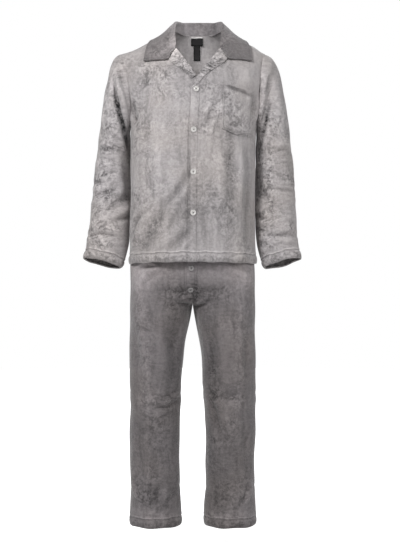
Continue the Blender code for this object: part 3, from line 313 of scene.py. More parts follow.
TROUSERS_FOLDS = fold_rows(
    (FRONT, [(-181, -768, -111, -765, -13, 6, 30), (-177, -784, -102, -777, -16, 6, -30),
     (-177, -828, -96, -771, -16, 8, 35), (-165, -843, -83, -790, -19, 8, -30),
     (191, -828, 112, -771, 16, 8, 30), (175, -847, 100, -793, 19, 8, -26),
     (-108, -840, -7, -843, 3, 14, -20), (106, -840, 24, -843, -3, 14, -20),
     (-92, -862, -14, -872, -6, 9, 30), (93, -862, 21, -872, 6, 9, 30),
     (-1, -884, -36, -859, 0, 4, 30), (-1, -891, -45, -881, 0, 5, -30),
     (5, -884, 40, -869, 0, 5, 26), (5, -894, 49, -884, 0, 5, -26),
     (-174, -884, -155, -941, 0, 6, 35), (-143, -881, -130, -947, 0, 7, -35),
     (159, -887, 153, -944, 0, 6, 30), (137, -881, 131, -941, 0, 7, -32),
     (-165, -941, -146, -1086, 0, 7, 24), (-149, -1086, -133, -1187, 0, 6, 32),
     (-184, -966, -174, -1098, 0, 9, -24), (153, -954, 150, -1098, 0, 9, 20),
     (172, -982, 172, -1124, 0, 9, -22), (-64, -966, -67, -1142, -9, 19, -50),
     (62, -998, 71, -1149, 9, 19, -50), (-30, -950, -45, -1098, 6, 8, 26),
     (33, -966, 43, -1098, -6, 8, 26), (-45, -1158, -108, -1180, -6, 5, -34),
     (-42, -1171, -111, -1199, -6, 6, 36), (-45, -1193, -155, -1193, -22, 6, -40),
     (-64, -1218, -143, -1215, -13, 8, 28), (43, -1161, 103, -1180, 6, 6, -32),
     (43, -1180, 109, -1205, 6, 6, 30), (62, -1174, 90, -1300, 3, 9, -40),
     (106, -1205, 118, -1281, 0, 11, 30), (118, -1275, 150, -1275, -3, 4, 24),
     (-155, -1278, -124, -1281, -3, 4, -22), (-121, -1336, -77, -1341, -3, 5, 26),
     (-121, -1347, -70, -1350, -3, 5, -20), (68, -1341, 115, -1335, -3, 5, 24),
     (68, -1352, 122, -1346, -3, 5, -20), (-177, -1464, -130, -1457, 3, 4, -30),
     (-168, -1473, -111, -1486, 3, 5, -28), (-171, -1454, -115, -1445, 3, 5, 22),
     (-187, -1448, -143, -1520, 16, 6, 42), (-168, -1514, -124, -1519, -3, 4, -34),
     (-127, -1479, -89, -1464, 0, 10, -30), (-77, -1407, -83, -1501, 0, 11, 20),
     (185, -1451, 159, -1527, -13, 6, 38), (172, -1464, 144, -1533, -9, 7, -30),
     (93, -1464, 137, -1476, 3, 6, -24), (49, -1501, 93, -1545, -6, 7, -24),
     (-52, -1501, -96, -1545, 6, 7, -24), (-165, -1250, -168, -1407, 0, 11, -20),
     (166, -1250, 169, -1407, 0, 11, -20), (78, -1360, 71, -1501, 0, 13, -20)]),
    (BACK, [(-20, -800, -120, -845, -8, 11, -30), (18, -806, 126, -852, 8, 11, -30),
     (-4, -890, -70, -934, -8, 9, -42), (6, -894, 74, -930, 8, 9, -44),
     (-10, -912, -90, -962, -6, 10, 30), (12, -918, 86, -958, 6, 10, 32),
     (-110, -960, -102, -1120, 5, 17, 32), (108, -975, 104, -1130, -5, 17, 34),
     (-66, -990, -70, -1130, 4, 15, -38), (64, -1000, 66, -1140, -4, 15, -40),
     (-150, -1130, -60, -1146, 6, 7, -36), (-156, -1152, -64, -1176, -6, 8, 32),
     (-150, -1186, -74, -1190, 5, 8, -32), (150, -1138, 58, -1150, -6, 7, -34),
     (156, -1160, 66, -1172, 6, 8, 34), (146, -1188, 70, -1198, -5, 8, -30),
     (-120, -1240, -128, -1420, 5, 15, -30), (118, -1230, 124, -1410, -5, 15, -30),
     (-82, -1260, -84, -1400, 3, 12, 24), (84, -1280, 82, -1430, 3, 12, 24),
     (-160, -1440, -90, -1458, 5, 6, -28), (-166, -1462, -84, -1488, 5, 7, 28),
     (164, -1446, 92, -1462, -5, 6, -28), (170, -1470, 90, -1492, -5, 7, 30)]),
    (TO_RIGHT, [(-40, -800, -20, -960, 5, 13, -7), (30, -860, 16, -1060, 4, 15, 7),
     (-50, -1170, 30, -1150, 6, 8, -7), (-40, -1204, 40, -1190, -5, 9, 7),
     (-30, -1260, -16, -1430, 4, 13, -6), (-40, -1468, 40, -1486, 5, 7, -7)]),
    (TO_LEFT, [(-36, -806, -18, -980, 5, 13, -7), (32, -870, 20, -1050, 4, 15, 7),
     (-46, -1160, 34, -1176, 6, 8, -7), (-40, -1196, 40, -1208, -5, 9, 7),
     (-28, -1270, -18, -1420, 4, 13, -6), (-40, -1476, 40, -1462, 5, 7, -7)]))

# ================================================================ lie of the nap, and painted light and shade
# Spots where the nap lies lighter or darker or is crushed, mixed with spots of painted light and
# shade where light or shadow falls on the cloth. A row gives across and z of a spot and its
# radius across and up in millimetres, how much lighter it is in percent, and how far its nap is
# crushed, in tenths.
def nap_and_shade_rows(*sides):
    """The sides' spots in one list, their places in metres and their crush from 0 to 1."""
    return [(side, across / 1000, up / 1000, wide, high, percent, crushed / 10)
            for side, rows in sides for across, up, wide, high, percent, crushed in rows]


# Painted shadow lies in the pocket's mouth, along its lower edge and down the front strip's
# edge, with painted highlights along the pocket's band; painted light lies over the left armhole
# seam and inside the neck; a broad painted shade lies low on the front.
TORSO_NAP_AND_SHADE = nap_and_shade_rows(
    (FRONT, [(-138, -141, 39, 32, -6, 10), (-85, -160, 29, 32, -5, 10),
     (-144, -185, 26, 20, -8, 10), (-101, -216, 32, 20, -4, 8), (-45, -232, 29, 26, -3, 6),
     (-163, -310, 32, 58, -5, 8), (-179, -247, 16, 46, -8, 9), (74, -129, 39, 20, -5, 8),
     (43, -210, 46, 20, -7, 9), (74, -285, 46, 46, -3, 10), (111, -241, 26, 32, -5, 9),
     (40, -341, 58, 26, -4, 8), (-7, -222, 26, 98, 3, 1), (-76, -341, 58, 130, 4, 3),
     (-132, -466, 39, 98, 3, 5), (-63, -481, 26, 65, 3, 3), (-101, -491, 23, 52, -6, 3),
     (40, -434, 52, 58, 2, 2), (93, -403, 26, 98, -5, 4), (61, -559, 84, 72, -8, 5),
     (111, -606, 32, 84, -10, 6), (-7, -590, 26, 81, -5, 4), (-51, -575, 32, 52, -6, 3),
     (-179, -544, 26, 26, -8, 10), (-200, -606, 26, 98, -9, 8), (-132, -646, 78, 52, -5, 5),
     (-147, -575, 39, 46, 3, 6), (-179, -684, 46, 26, -7, 6), (110, -204, 7, 6, -17, 1),
     (119, -207, 7, 6, -17, 1), (128, -210, 7, 6, -17, 1), (137, -212, 7, 6, -20, 1),
     (146, -216, 7, 6, -20, 1), (155, -218, 7, 6, -20, 1), (164, -221, 7, 6, -20, 1),
     (173, -224, 7, 6, -20, 1), (182, -227, 7, 6, -20, 1), (113, -196, 10, 3, 8, 1),
     (113, -215, 10, 3, 8, 1), (127, -200, 10, 3, 8, 1), (127, -219, 10, 3, 8, 1),
     (142, -205, 10, 3, 8, 1), (142, -224, 10, 3, 8, 1), (156, -209, 10, 3, 8, 1),
     (156, -228, 10, 3, 8, 1), (170, -214, 10, 3, 8, 1), (170, -233, 10, 3, 8, 1),
     (185, -218, 10, 3, 8, 1), (185, -237, 10, 3, 8, 1), (209, -185, 6, 46, 12, 0),
     (93, -285, 5, 52, 9, 3), (139, -285, 36, 32, 2, 9), (142, -322, 36, 20, -3, 10),
     (111, -341, 16, 5, -14, 3), (142, -350, 20, 5, -16, 3), (171, -356, 16, 5, -16, 3),
     (189, -285, 5, 58, -10, 5), (-45, -628, 195, 110, -5, 2), (-51, -17, 11, 23, 34, 9),
     (-59, -48, 11, 23, 34, 9), (-60, -79, 11, 23, 30, 9), (97, -26, 10, 32, -14, 9),
     (99, -70, 10, 23, 8, 9), (-20, -141, 26, 39, -17, 5), (-52, -91, 13, 16, -16, 3),
     (-101, -82, 39, 26, 2, 9), (-70, -48, 23, 32, 0, 9), (19, -160, 16, 20, -24, 3),
     (-101, -91, 39, 26, 12, 4), (-82, -67, 32, 26, 8, 4), (61, -85, 32, 20, -4, 4),
     (-9, -484, 4, 188, -20, 0), (-45, -107, 16, 23, 2, 10), (-26, -135, 16, 20, 2, 10),
     (-7, -160, 13, 16, 2, 10), (80, -107, 16, 23, 2, 10), (55, -141, 16, 20, 2, 10),
     (33, -166, 13, 16, 2, 10), (-38, -403, 13, 195, -5, 2), (-207, -403, 10, 195, -8, 4),
     (121, -372, 10, 228, -9, 5), (-34, 20, 22, 24, 50, 5), (18, 20, 24, 24, 22, 5),
     (64, 20, 20, 24, -2, 5)]),
    (TO_LEFT, [(10, 10, 40, 26, 34, 4)]),
    (TO_RIGHT, [(10, 10, 40, 26, 34, 4)]),
    (BACK, [(-120, -200, 60, 50, -5, 9), (110, -170, 55, 45, -4, 9), (10, -260, 70, 60, 4, 3),
     (-60, -400, 60, 80, -4, 6), (130, -420, 40, 90, -6, 6), (50, -560, 80, 60, 3, 4),
     (-140, -620, 50, 70, -8, 8), (150, -650, 45, 60, -7, 8)]))

# The row of narrow dark spots down the sleeve's side next to the body is painted shadow.
RIGHT_SLEEVE_NAP_AND_SHADE = nap_and_shade_rows(
    (FRONT, [(-260, -163, 26, 78, 9, 3), (-273, -286, 26, 46, 7, 6), (-245, -208, 5, 15, -14, 2),
     (-241, -231, 5, 15, -24, 2), (-236, -254, 5, 15, -28, 2), (-230, -276, 5, 15, -40, 2),
     (-224, -299, 5, 15, -40, 2), (-218, -321, 5, 15, -40, 2), (-212, -344, 5, 15, -40, 2),
     (-208, -367, 5, 15, -40, 2), (-205, -389, 5, 15, -36, 2), (-204, -412, 5, 15, -31, 2),
     (-203, -435, 5, 15, -26, 2), (-203, -457, 5, 15, -20, 2), (-260, -105, 32, 32, 4, 7),
     (-280, -196, 26, 65, -5, 10), (-244, -244, 16, 98, -10, 9), (-296, -270, 26, 26, -6, 10),
     (-286, -318, 39, 16, -9, 10), (-299, -357, 46, 13, 5, 10), (-273, -389, 46, 13, -7, 10),
     (-305, -431, 46, 16, 6, 10), (-293, -470, 46, 13, -8, 10), (-312, -518, 32, 39, 5, 10),
     (-273, -544, 29, 32, -8, 10), (-312, -590, 52, 13, -7, 10), (-305, -622, 52, 10, 7, 10),
     (-286, -644, 46, 10, -9, 10), (-322, -670, 46, 13, 4, 10), (-299, -693, 39, 13, -6, 10),
     (-331, -486, 13, 130, -6, 9), (-325, -260, 16, 81, 3, 8)]),
    (BACK, [(-255, -240, 40, 60, -6, 10)]),
    (TO_RIGHT, [(10, -300, 40, 50, 4, 8)]),
    (BACK, [(-275, -420, 45, 18, -8, 10)]),
    (TO_RIGHT, [(0, -480, 45, 20, -6, 10)]),
    (BACK, [(-290, -600, 40, 16, 6, 10)]),
    (TO_RIGHT, [(0, -640, 50, 14, -7, 10)]))

# The row of narrow dark spots down the sleeve's side next to the body is painted shadow, and the
# narrow light spot over the armhole seam is painted light.
LEFT_SLEEVE_NAP_AND_SHADE = nap_and_shade_rows(
    (FRONT, [(246, -250, 5, 15, -22, 2), (241, -271, 5, 15, -29, 2), (236, -292, 5, 15, -30, 2),
     (231, -315, 5, 15, -30, 2), (225, -338, 5, 15, -30, 2), (220, -360, 5, 15, -26, 2),
     (216, -383, 5, 15, -22, 2), (215, -405, 5, 15, -18, 2), (220, -163, 6, 46, 12, 0),
     (173, -105, 32, 32, 4, 7), (192, -196, 26, 65, -4, 10), (150, -244, 16, 98, -10, 9),
     (205, -270, 26, 26, -6, 10), (198, -318, 39, 16, -8, 10), (211, -357, 39, 13, 5, 10),
     (185, -396, 46, 13, -7, 10), (224, -431, 39, 16, 5, 10), (211, -473, 46, 13, -8, 10),
     (231, -518, 29, 39, 4, 10), (185, -551, 29, 32, -10, 10), (224, -593, 46, 13, -7, 10),
     (224, -619, 46, 10, 6, 10), (205, -644, 46, 10, -9, 10), (244, -670, 39, 13, 4, 10),
     (218, -696, 39, 13, -7, 10), (250, -486, 13, 130, -7, 9)]),
    (BACK, [(262, -240, 40, 60, -6, 10)]),
    (TO_LEFT, [(10, -300, 40, 50, 4, 8)]),
    (BACK, [(280, -420, 45, 18, -8, 10)]),
    (TO_LEFT, [(0, -480, 45, 20, -6, 10)]),
    (BACK, [(292, -600, 40, 16, 6, 10)]),
    (TO_LEFT, [(0, -640, 50, 14, -7, 10)]))

# Painted light: the wide band and the hips under the shirt's hem, partly the nap's lie, and the
# legs' lower ends; painted shade: down the shins and between the legs.
TROUSERS_NAP_AND_SHADE = nap_and_shade_rows(
    (FRONT, [(13, -825, 8, 65, -8, 0), (-166, -790, 42, 58, 27, 7), (157, -790, 39, 58, 20, 6),
     (-14, -828, 84, 46, -5, 2), (-8, -771, 244, 42, 20, 3), (-175, -793, 32, 72, 30, 7),
     (169, -793, 32, 72, 25, 7), (-109, -774, 84, 42, 19, 5), (103, -774, 65, 36, 17, 4),
     (-8, -793, 65, 58, -3, 3), (-87, -847, 72, 23, -5, 2), (81, -847, 65, 23, -5, 2),
     (-45, -853, 46, 32, -4, 5), (5, -859, 20, 39, -5, 10), (-166, -935, 23, 130, 5, 7),
     (163, -935, 23, 130, 4, 7), (-147, -1030, 20, 130, 6, 7), (150, -1014, 20, 130, 5, 7),
     (-55, -1014, 26, 162, -10, 2), (52, -1014, 26, 162, -11, 2), (-45, -904, 32, 39, -9, 3),
     (43, -904, 32, 39, -9, 3), (-134, -1188, 39, 26, 6, 9), (-83, -1194, 32, 16, -8, 9),
     (-147, -1156, 20, 65, 4, 8), (-109, -1283, 52, 98, -3, 4), (-109, -1245, 32, 20, 4, 7),
     (138, -1194, 32, 26, 5, 9), (75, -1175, 29, 46, -9, 6), (119, -1267, 39, 26, 3, 6),
     (65, -1314, 29, 195, -6, 2), (-64, -1346, 23, 195, -7, 2), (-172, -1488, 23, 58, 5, 8),
     (-134, -1504, 39, 39, -6, 7), (-102, -1519, 39, 65, -4, 4), (169, -1488, 23, 58, 4, 8),
     (93, -1504, 39, 65, -5, 4), (-118, -1557, 78, 20, 24, 6), (119, -1557, 78, 20, 22, 6),
     (-115, -1409, 72, 195, -8, 1), (119, -1409, 72, 195, -8, 1)]),
    (BACK, [(-100, -780, 60, 50, 4, 5), (100, -800, 60, 50, 4, 5), (-60, -920, 50, 30, -9, 6),
     (60, -920, 50, 30, -9, 6), (-110, -1160, 50, 30, -6, 9), (110, -1170, 50, 30, -6, 9),
     (-120, -1400, 50, 90, -4, 4), (120, -1380, 50, 90, -4, 4)]),
    (TO_LEFT, [(0, -900, 50, 120, 6, 7)]),
    (TO_RIGHT, [(0, -920, 50, 120, 6, 7)]),
    (TO_LEFT, [(0, -1400, 50, 80, 3, 6)]),
    (TO_RIGHT, [(0, -1380, 50, 80, 3, 6)]))

# ================================================================ meshes and objects
def triples(items, name):
    values = np.empty(len(items) * 3)
    items.foreach_get(name, values)
    return values.reshape(-1, 3)


def points_of(mesh):
    return triples(mesh.vertices, "co")


def set_points(mesh, points):
    mesh.vertices.foreach_set("co", points.ravel())
    mesh.update()


def normals_of(mesh):
    return triples(mesh.vertex_normals, "vector")


def smoothstep(value, low, high):
    t = np.clip((np.asarray(value, float) - low) / (high - low), 0, 1)
    return t * t * (3 - 2 * t)


def evaluated(piece):
    bpy.context.view_layer.update()
    return piece.evaluated_get(bpy.context.evaluated_depsgraph_get())


def new_object(name, data):
    """An object that holds the data and is linked to the scene."""
    made = bpy.data.objects.new(name, data)
    bpy.context.scene.collection.objects.link(made)
    return made


def apply_modifiers(piece):
    """Gives the piece the mesh that its modifiers make of its own."""
    final = bpy.data.meshes.new_from_object(evaluated(piece))
    piece.modifiers.clear()
    piece.data = final
    return final


# ================================================================ sheets of cloth
def outside(node, facing=None, ledge=0.0):
    """The outer side of a solid wall of cloth, its triangles joined back into quads.

    facing tells the two sides of a nearly flat wall apart; a tube's outer side is larger.
    Steps lower than ledge, such as a hem's, are closed: the cloth's own hem takes over.
    """
    work = bmesh.new()
    work.from_mesh(NODES[node].data)
    bmesh.ops.remove_doubles(work, verts=work.verts[:], dist=WELD)
    work.normal_update()
    unseen, sides = set(work.faces), []
    while unseen:
        queue, side = [unseen.pop()], []
        while queue:
            face = queue.pop()
            side.append(face)
            for edge in face.edges:
                if edge.calc_face_angle(math.pi) < RIM_ANGLE:
                    found = [other for other in edge.link_faces if other in unseen]
                    unseen.difference_update(found)
                    queue += found
        sides.append(side)

    def size(side):
        return sum(face.calc_area() for face in side)

    def size_facing(side):
        return sum(face.calc_area() * face.normal.dot(facing) for face in side)

    two = sorted(sides, key=size)[-2:]
    kept = set(max(two, key=size_facing) if facing else two[-1])
    bmesh.ops.delete(work, geom=[face for face in work.faces if face not in kept],
                     context="FACES")
    bmesh.ops.remove_doubles(work, verts=work.verts[:], dist=ledge)
    longest = {face: max(face.edges, key=lambda edge: edge.calc_length())
               for face in work.faces}
    diagonals = [edge for edge in work.edges if len(edge.link_faces) == 2
                 and all(longest[face] is edge for face in edge.link_faces)]
    bmesh.ops.dissolve_edges(work, edges=diagonals, use_verts=False)
    return work


def reach_out(work, reach):
    """Moves a sheet's open edges outwards by reach, so that sewn pieces meet."""
    moves = {}
    for edge in work.edges:
        if edge.is_boundary:
            a, b = (vert.co for vert in edge.verts)
            way = (b - a).normalized()
            away = (a + b) / 2 - edge.link_faces[0].calc_center_median()
            away = (away - way * away.dot(way)).normalized()
            for vert in edge.verts:
                moves[vert] = moves.get(vert, Vector()) + away
    for vert, away in moves.items():
        vert.co += away.normalized() * reach(vert.co)


def smooth_sheet(name, work, levels):
    """A fine mesh object whose surface passes through the coarse sheet's points."""
    coarse = bpy.data.meshes.new(name)
    work.to_mesh(coarse)
    work.free()
    piece = new_object(name, coarse)
    fine = piece.modifiers.new("fine", "SUBSURF")
    fine.boundary_smooth = "PRESERVE_CORNERS"
    fine.levels = fine.render_levels = 1
    goal = points_of(coarse)
    drawn = goal.copy()
    for _ in range(FITS):
        drawn += goal - points_of(evaluated(piece).data)[:len(goal)]
        set_points(coarse, drawn)
    fine.levels = fine.render_levels = levels
    finished = apply_modifiers(piece)
    bpy.data.meshes.remove(coarse)
    finished.name = name
    return piece


def open_edges(mesh, points):
    """Start, end, direction and distance walked so far of each edge of the sheet's rim."""
    loops = np.empty(len(mesh.loops), np.int32)
    mesh.loops.foreach_get("edge_index", loops)
    ends = np.empty(len(mesh.edges) * 2, np.int32)
    mesh.edges.foreach_get("vertices", ends)
    single = np.bincount(loops, minlength=len(mesh.edges)) == 1
    beside = {}
    for a, b in ends.reshape(-1, 2)[single].tolist():
        beside.setdefault(a, []).append(b)
        beside.setdefault(b, []).append(a)
    rim, walked = [], []
    for first in list(beside):
        a, run = first, 0.0
        while beside[a]:
            b = beside[a].pop()
            beside[b].remove(a)
            rim.append((a, b))
            walked.append(run)
            run += float(np.linalg.norm(points[a] - points[b]))
            a = b
    start, end = points[np.array(rim)].transpose(1, 0, 2)
    length = np.linalg.norm(end - start, axis=1, keepdims=True)
    return start, end, (end - start) / np.maximum(length, 1e-9), np.array(walked)


def distance_to(points, start, end, walked):
    """Distance from each point to the nearest of some lines, at most FAR, and how far
    along them that nearest place lies."""
    nearest, along = np.full(len(points), FAR), np.zeros(len(points))
    for a, b, run in zip(start, end, walked):
        near = np.flatnonzero(np.all(abs(points - (a + b) / 2) < FAR, axis=1))
        line = b - a
        t = np.clip((points[near] - a) @ line / max(line @ line, 1e-12), 0, 1)
        gap = np.linalg.norm(points[near] - a - t[:, None] * line, axis=1)
        closer = gap < nearest[near]
        near, t = near[closer], t[closer]
        nearest[near] = gap[closer]
        along[near] = run + t * np.linalg.norm(line)
    return nearest, along


def bump_at(distance, width):
    """A smooth bump, 1 where the distance is 0, that falls off over the width."""
    return np.exp(-(distance / width)**2)


def seen_from(view, points, normals, facing, across, up):
    """How fully the cloth faces a side, and the points as seen from there, from one place."""
    faced = smoothstep(normals @ np.array(view), *facing)
    return faced, points[:, [0 if view.x == 0 else 1, 2]] - (across, up)


def fold_heights(points, normals, folds):
    """How far the folds lift the cloth at some points, out along their normals."""
    lifted = np.zeros(len(points))
    for view, across0, z0, across1, z1, bow, width, height in folds:
        faced, place = seen_from(view, points, normals, FOLD_FACING, across0, z0)
        run = np.array([across1 - across0, z1 - z0])
        length = np.linalg.norm(run)
        run = run / length
        width = width / 1000
        ahead = place @ run
        t = np.clip(ahead / length, 0, 1)
        aside = place @ np.array([run[1], -run[0]]) - bow / 1000 * 4 * t * (1 - t)
        over = np.maximum(ahead - length, -ahead).clip(0) / (1.5 * width)
        middle = (1 - FOLD_END) * np.sin(math.pi * t)**0.7
        strength = (FOLD_END + middle) * np.exp(-over**2) * faced
        if height < 0:
            shape = bump_at(aside, width)
            for shoulder in TROUGH_SHOULDERS:
                shape -= SHOULDER_HEIGHT * np.exp(-(aside / width - shoulder)**2)
        else:
            shape = bump_at(aside, np.where(aside > 0, RIDGE_RIGHT * width, RIDGE_LEFT * width))
        lifted += height / 1000 * strength * shape
    return lifted * cloth().fold_depth


def nap_and_shade_at(points, normals, spots):
    """How much lighter the nap lies at some points, painted light and shade included, and how
    far it is crushed there.
    """
    tone, crush = np.zeros(len(points)), np.zeros(len(points))
    for view, across, up, wide, high, percent, crushed in spots:
        faced, place = seen_from(view, points, normals, NAP_FACING, across, up)
        near = faced * np.exp(-((place / (wide / 1000, high / 1000))**2).sum(axis=1) / 1.4)
        tone += near * percent / 100
        crush = np.maximum(crush, near * crushed)
    return tone, crush


def wave_heights(points, pitches):
    """Broad unevenness of hanging cloth; pitches are waves a metre across, round and up."""
    total = np.zeros(len(points))
    for number in range(WAVES):
        turn = GOLDEN_TURN * number
        grow = 0.6 + 0.8 * ((number * 0.618) % 1)
        pitch = 2 * math.pi * grow * np.array(pitches)
        direction = pitch * [math.cos(turn), math.sin(1.7 * turn), math.sin(turn + 0.8)]
        total += np.sin(points @ direction + 1.3 * number)
    return total / math.sqrt(WAVES)


def add_attributes(mesh, **columns):
    """Stores a number for each point under each name, for the material to read."""
    for name, values in columns.items():
        attribute = mesh.attributes.new(name, "FLOAT", "POINT")
        attribute.data.foreach_set("value", np.asarray(values, np.float32))


def finish_sheet(piece, wall, hem_wall, hems):
    """Gives the sheet its wall, thicker at its hems, with rounded edges."""
    group = piece.vertex_groups.new(name="hem")
    for index in np.flatnonzero(hems):
        group.add([int(index)], 1.0, "REPLACE")
    thick = piece.modifiers.new("wall", "SOLIDIFY")
    thick.thickness = hem_wall
    thick.offset = -1
    thick.vertex_group = "hem"
    thick.thickness_vertex_group = wall / hem_wall
    thick.use_rim = True
    rounding = piece.modifiers.new("edges", "BEVEL")
    rounding.limit_method = "ANGLE"
    rounding.angle_limit = BEVEL_ANGLE
    rounding.width = wall * BEVEL_SHARE
    rounding.segments = 2
    piece.data.shade_smooth()


# ================================================================ shader nodes
def add(tree, kind, inputs=None, **settings):
    """A shader node with its settings made and its inputs linked or filled in."""
    node = tree.nodes.new("ShaderNode" + kind)
    for name, value in settings.items():
        setattr(node, name, value)
    return fill_in(tree, node, inputs or {})


def fill_in(tree, node, inputs):
    """Links a node's inputs to the sockets given for them, or sets their own values."""
    for name, value in inputs.items():
        if isinstance(value, bpy.types.NodeSocket):
            tree.links.new(value, node.inputs[name])
        else:
            node.inputs[name].default_value = value
    return node


def calc(tree, operation, *values):
    return add(tree, "Math", dict(enumerate(values)), operation=operation).outputs[0]


def joined(tree, operation, values):
    """The values taken together two at a time, from the first on."""
    result = values[0]
    for value in values[1:]:
        result = calc(tree, operation, result, value)
    return result


def product_of(tree, *values):
    return joined(tree, "MULTIPLY", values)


def scaled(tree, colour, factor):
    return add(tree, "VectorMath", {0: colour, "Scale": factor}, operation="SCALE").outputs[0]


def total_of(tree, *values):
    return joined(tree, "ADD", values)


def step_between(tree, value, low, high, to_low=0.0, to_high=1.0):
    return add(tree, "MapRange", {"Value": value, "From Min": low, "From Max": high,
                                  "To Min": to_low, "To Max": to_high},
               interpolation_type="SMOOTHSTEP").outputs["Result"]


def noise(tree, place, scale, detail=2.0, roughness=0.5, output="Fac"):
    return add(tree, "TexNoise", {"Vector": place, "Scale": scale, "Detail": detail,
                                  "Roughness": roughness}).outputs[output]


def centred_noise(tree, *looks):
    return calc(tree, "SUBTRACT", noise(tree, *looks), 0.5)


def stretched(tree, place, by):
    return add(tree, "Mapping", {"Vector": place, "Scale": by}).outputs["Vector"]


def new_group(name, inputs, outputs):
    """An empty node group, with its named inputs' sockets and the node of its outputs."""
    group = bpy.data.node_groups.new(name, "ShaderNodeTree")
    for sockets, way in ((inputs, "INPUT"), (outputs, "OUTPUT")):
        for title, kind in sockets.items():
            group.interface.new_socket(title, in_out=way, socket_type="NodeSocket" + kind)
    given = group.nodes.new("NodeGroupInput").outputs
    return group, given, group.nodes.new("NodeGroupOutput")


def plush_nap_group():
    """Crushed nap of plush: crisp blotches, soft streaks and a fine grain, plus painted light
    and shade from the folds and spots.
    """
    numbers = ("Mottling", "Streaks", "Ripples", "Fold", "Tone", "Crush")
    group, given, result = new_group(
        "plush_nap", {"Place": "Vector", "Colour": "Color", **dict.fromkeys(numbers, "Float")},
        {"Colour": "Color", "Height": "Float"})
    place = given["Place"]
    drift = noise(group, place, 11.0, output="Color")
    drift = add(group, "VectorMath", {0: drift, 1: (0.5, 0.5, 0.5)},
                operation="SUBTRACT").outputs[0]
    warped = add(group, "VectorMath", {0: drift, 1: (0.035, 0.035, 0.035), 2: place},
                 operation="MULTIPLY_ADD").outputs[0]
    broad = centred_noise(group, place, 6.0)
    patch = step_between(group, noise(group, warped, 10.0), 0.50, 0.66, 0.03, 0.60)
    patch = calc(group, "MAXIMUM", patch, given["Crush"])
    blotch = step_between(group, noise(group, warped, 40.0, 3.5, 0.62), 0.46, 0.54, -0.5, 0.5)
    small = step_between(group, noise(group, warped, 120.0, 2.0, 0.6), 0.42, 0.60, -0.5, 0.5)
    streak = centred_noise(group, stretched(group, warped, (1.0, 1.0, 0.14)), 75.0)
    ripple = centred_noise(group, stretched(group, warped, (0.28, 0.28, 1.0)), 130.0, 2.0, 0.6)
    ripple = product_of(group, ripple, given["Ripples"])
    grain = centred_noise(group, place, 420.0, 2.0, 0.6)
    crushed = product_of(group, blotch, patch)
    shade = total_of(
        group, product_of(group, broad, 0.25), product_of(group, crushed, 0.32),
        product_of(group, ripple, 0.9),
        product_of(group, small, calc(group, "ADD", patch, 0.30), 0.26),
        product_of(group, grain, 0.40), product_of(group, streak, given["Streaks"], 0.9))
    shade = product_of(group, shade, given["Mottling"])
    # Painted shade from the folds: lighter on their ridges, darker in their troughs, with the
    # hems' painted light and shade.
    lift = add(group, "Clamp", {"Value": given["Fold"], "Min": -7.0, "Max": 6.0}).outputs[0]
    shade = calc(group, "MULTIPLY_ADD", lift, 0.028, shade)
    # Painted light and shade of the listed spots, together with the nap's own lighter and darker
    # lie.
    shade = calc(group, "MULTIPLY_ADD", given["Tone"], 1.7, shade)
    hue = step_between(group, noise(group, place, 4.5), 0.35, 0.65)
    tint = add(group, "Mix", {0: hue, 4: COOL, 5: WARM}, data_type="VECTOR").outputs[1]
    tinted = add(group, "VectorMath", {0: given["Colour"], 1: tint}, operation="MULTIPLY")
    height = total_of(
        group, product_of(group, crushed, 0.7), product_of(group, small, patch, 0.3),
        product_of(group, streak, 0.4), product_of(group, ripple, 1.2),
        product_of(group, grain, 0.8))
    fill_in(group, result, {
        "Colour": scaled(group, tinted.outputs[0], calc(group, "ADD", shade, 1.0)),
        "Height": height})
    return group


def stitch_group():
    """Two lines of stitches: Line 1 and Line 2 are distances to them, Along runs with them.
    Furrow and Ridge shape the cloth and mark where the plush paints shade and light.
    """
    group, given, result = new_group(
        "sewn_lines", dict.fromkeys(("Line 1", "Line 2", "Along"), "Float"),
        dict.fromkeys(("Thread", "Furrow", "Ridge", "Roll"), "Float"))
    first = given["Line 1"]
    gap = calc(group, "MINIMUM", calc(group, "ABSOLUTE", first),
               calc(group, "ABSOLUTE", given["Line 2"]))
    line = step_between(group, gap, STITCH_WIDTH * 0.35, STITCH_WIDTH * 0.75, 1.0, 0.0)
    dash = calc(group, "FRACT", calc(group, "DIVIDE", given["Along"], STITCH_LENGTH))
    dash = calc(group, "ABSOLUTE", calc(group, "SUBTRACT", dash, 0.5))
    dash = step_between(group, dash, 0.24, 0.42, 1.0, 0.0)
    rise = step_between(group, first, 0.0008, 0.0035)
    fall = step_between(group, first, 0.0045, 0.0085, 1.0, 0.0)
    fill_in(group, result, {
        "Thread": product_of(group, line, dash),
        "Furrow": step_between(group, gap, 0.0, 0.0035, 1.0, 0.0),
        "Ridge": product_of(group, rise, fall),
        "Roll": step_between(group, first, -0.009, -0.0005, 1.0, 0.0)})
    return group


def shared_group(name, maker):
    """A node group that is built once and placed wherever it is needed."""
    return bpy.data.node_groups.get(name) or maker()


def placed_group(tree, group, inputs):
    node = tree.nodes.new("ShaderNodeGroup")
    node.node_tree = group
    return fill_in(tree, node, inputs).outputs


def new_material(name):
    """A new material, its nodes, its Principled BSDF and the object's own coordinates."""
    made = bpy.data.materials.new(name)
    made.use_nodes = True
    tree = made.node_tree
    surface = next(node for node in tree.nodes if node.type == "BSDF_PRINCIPLED")
    return made, tree, surface, add(tree, "TexCoord").outputs["Object"]


def made_once(maker):
    """Has a maker of materials hand out the one of that name that it has made before."""
    def find_or_make(name, *looks):
        return bpy.data.materials.get(name) or maker(name, *looks)
    return find_or_make


def read(tree, attribute):
    return add(tree, "Attribute", attribute_name=attribute).outputs["Fac"]


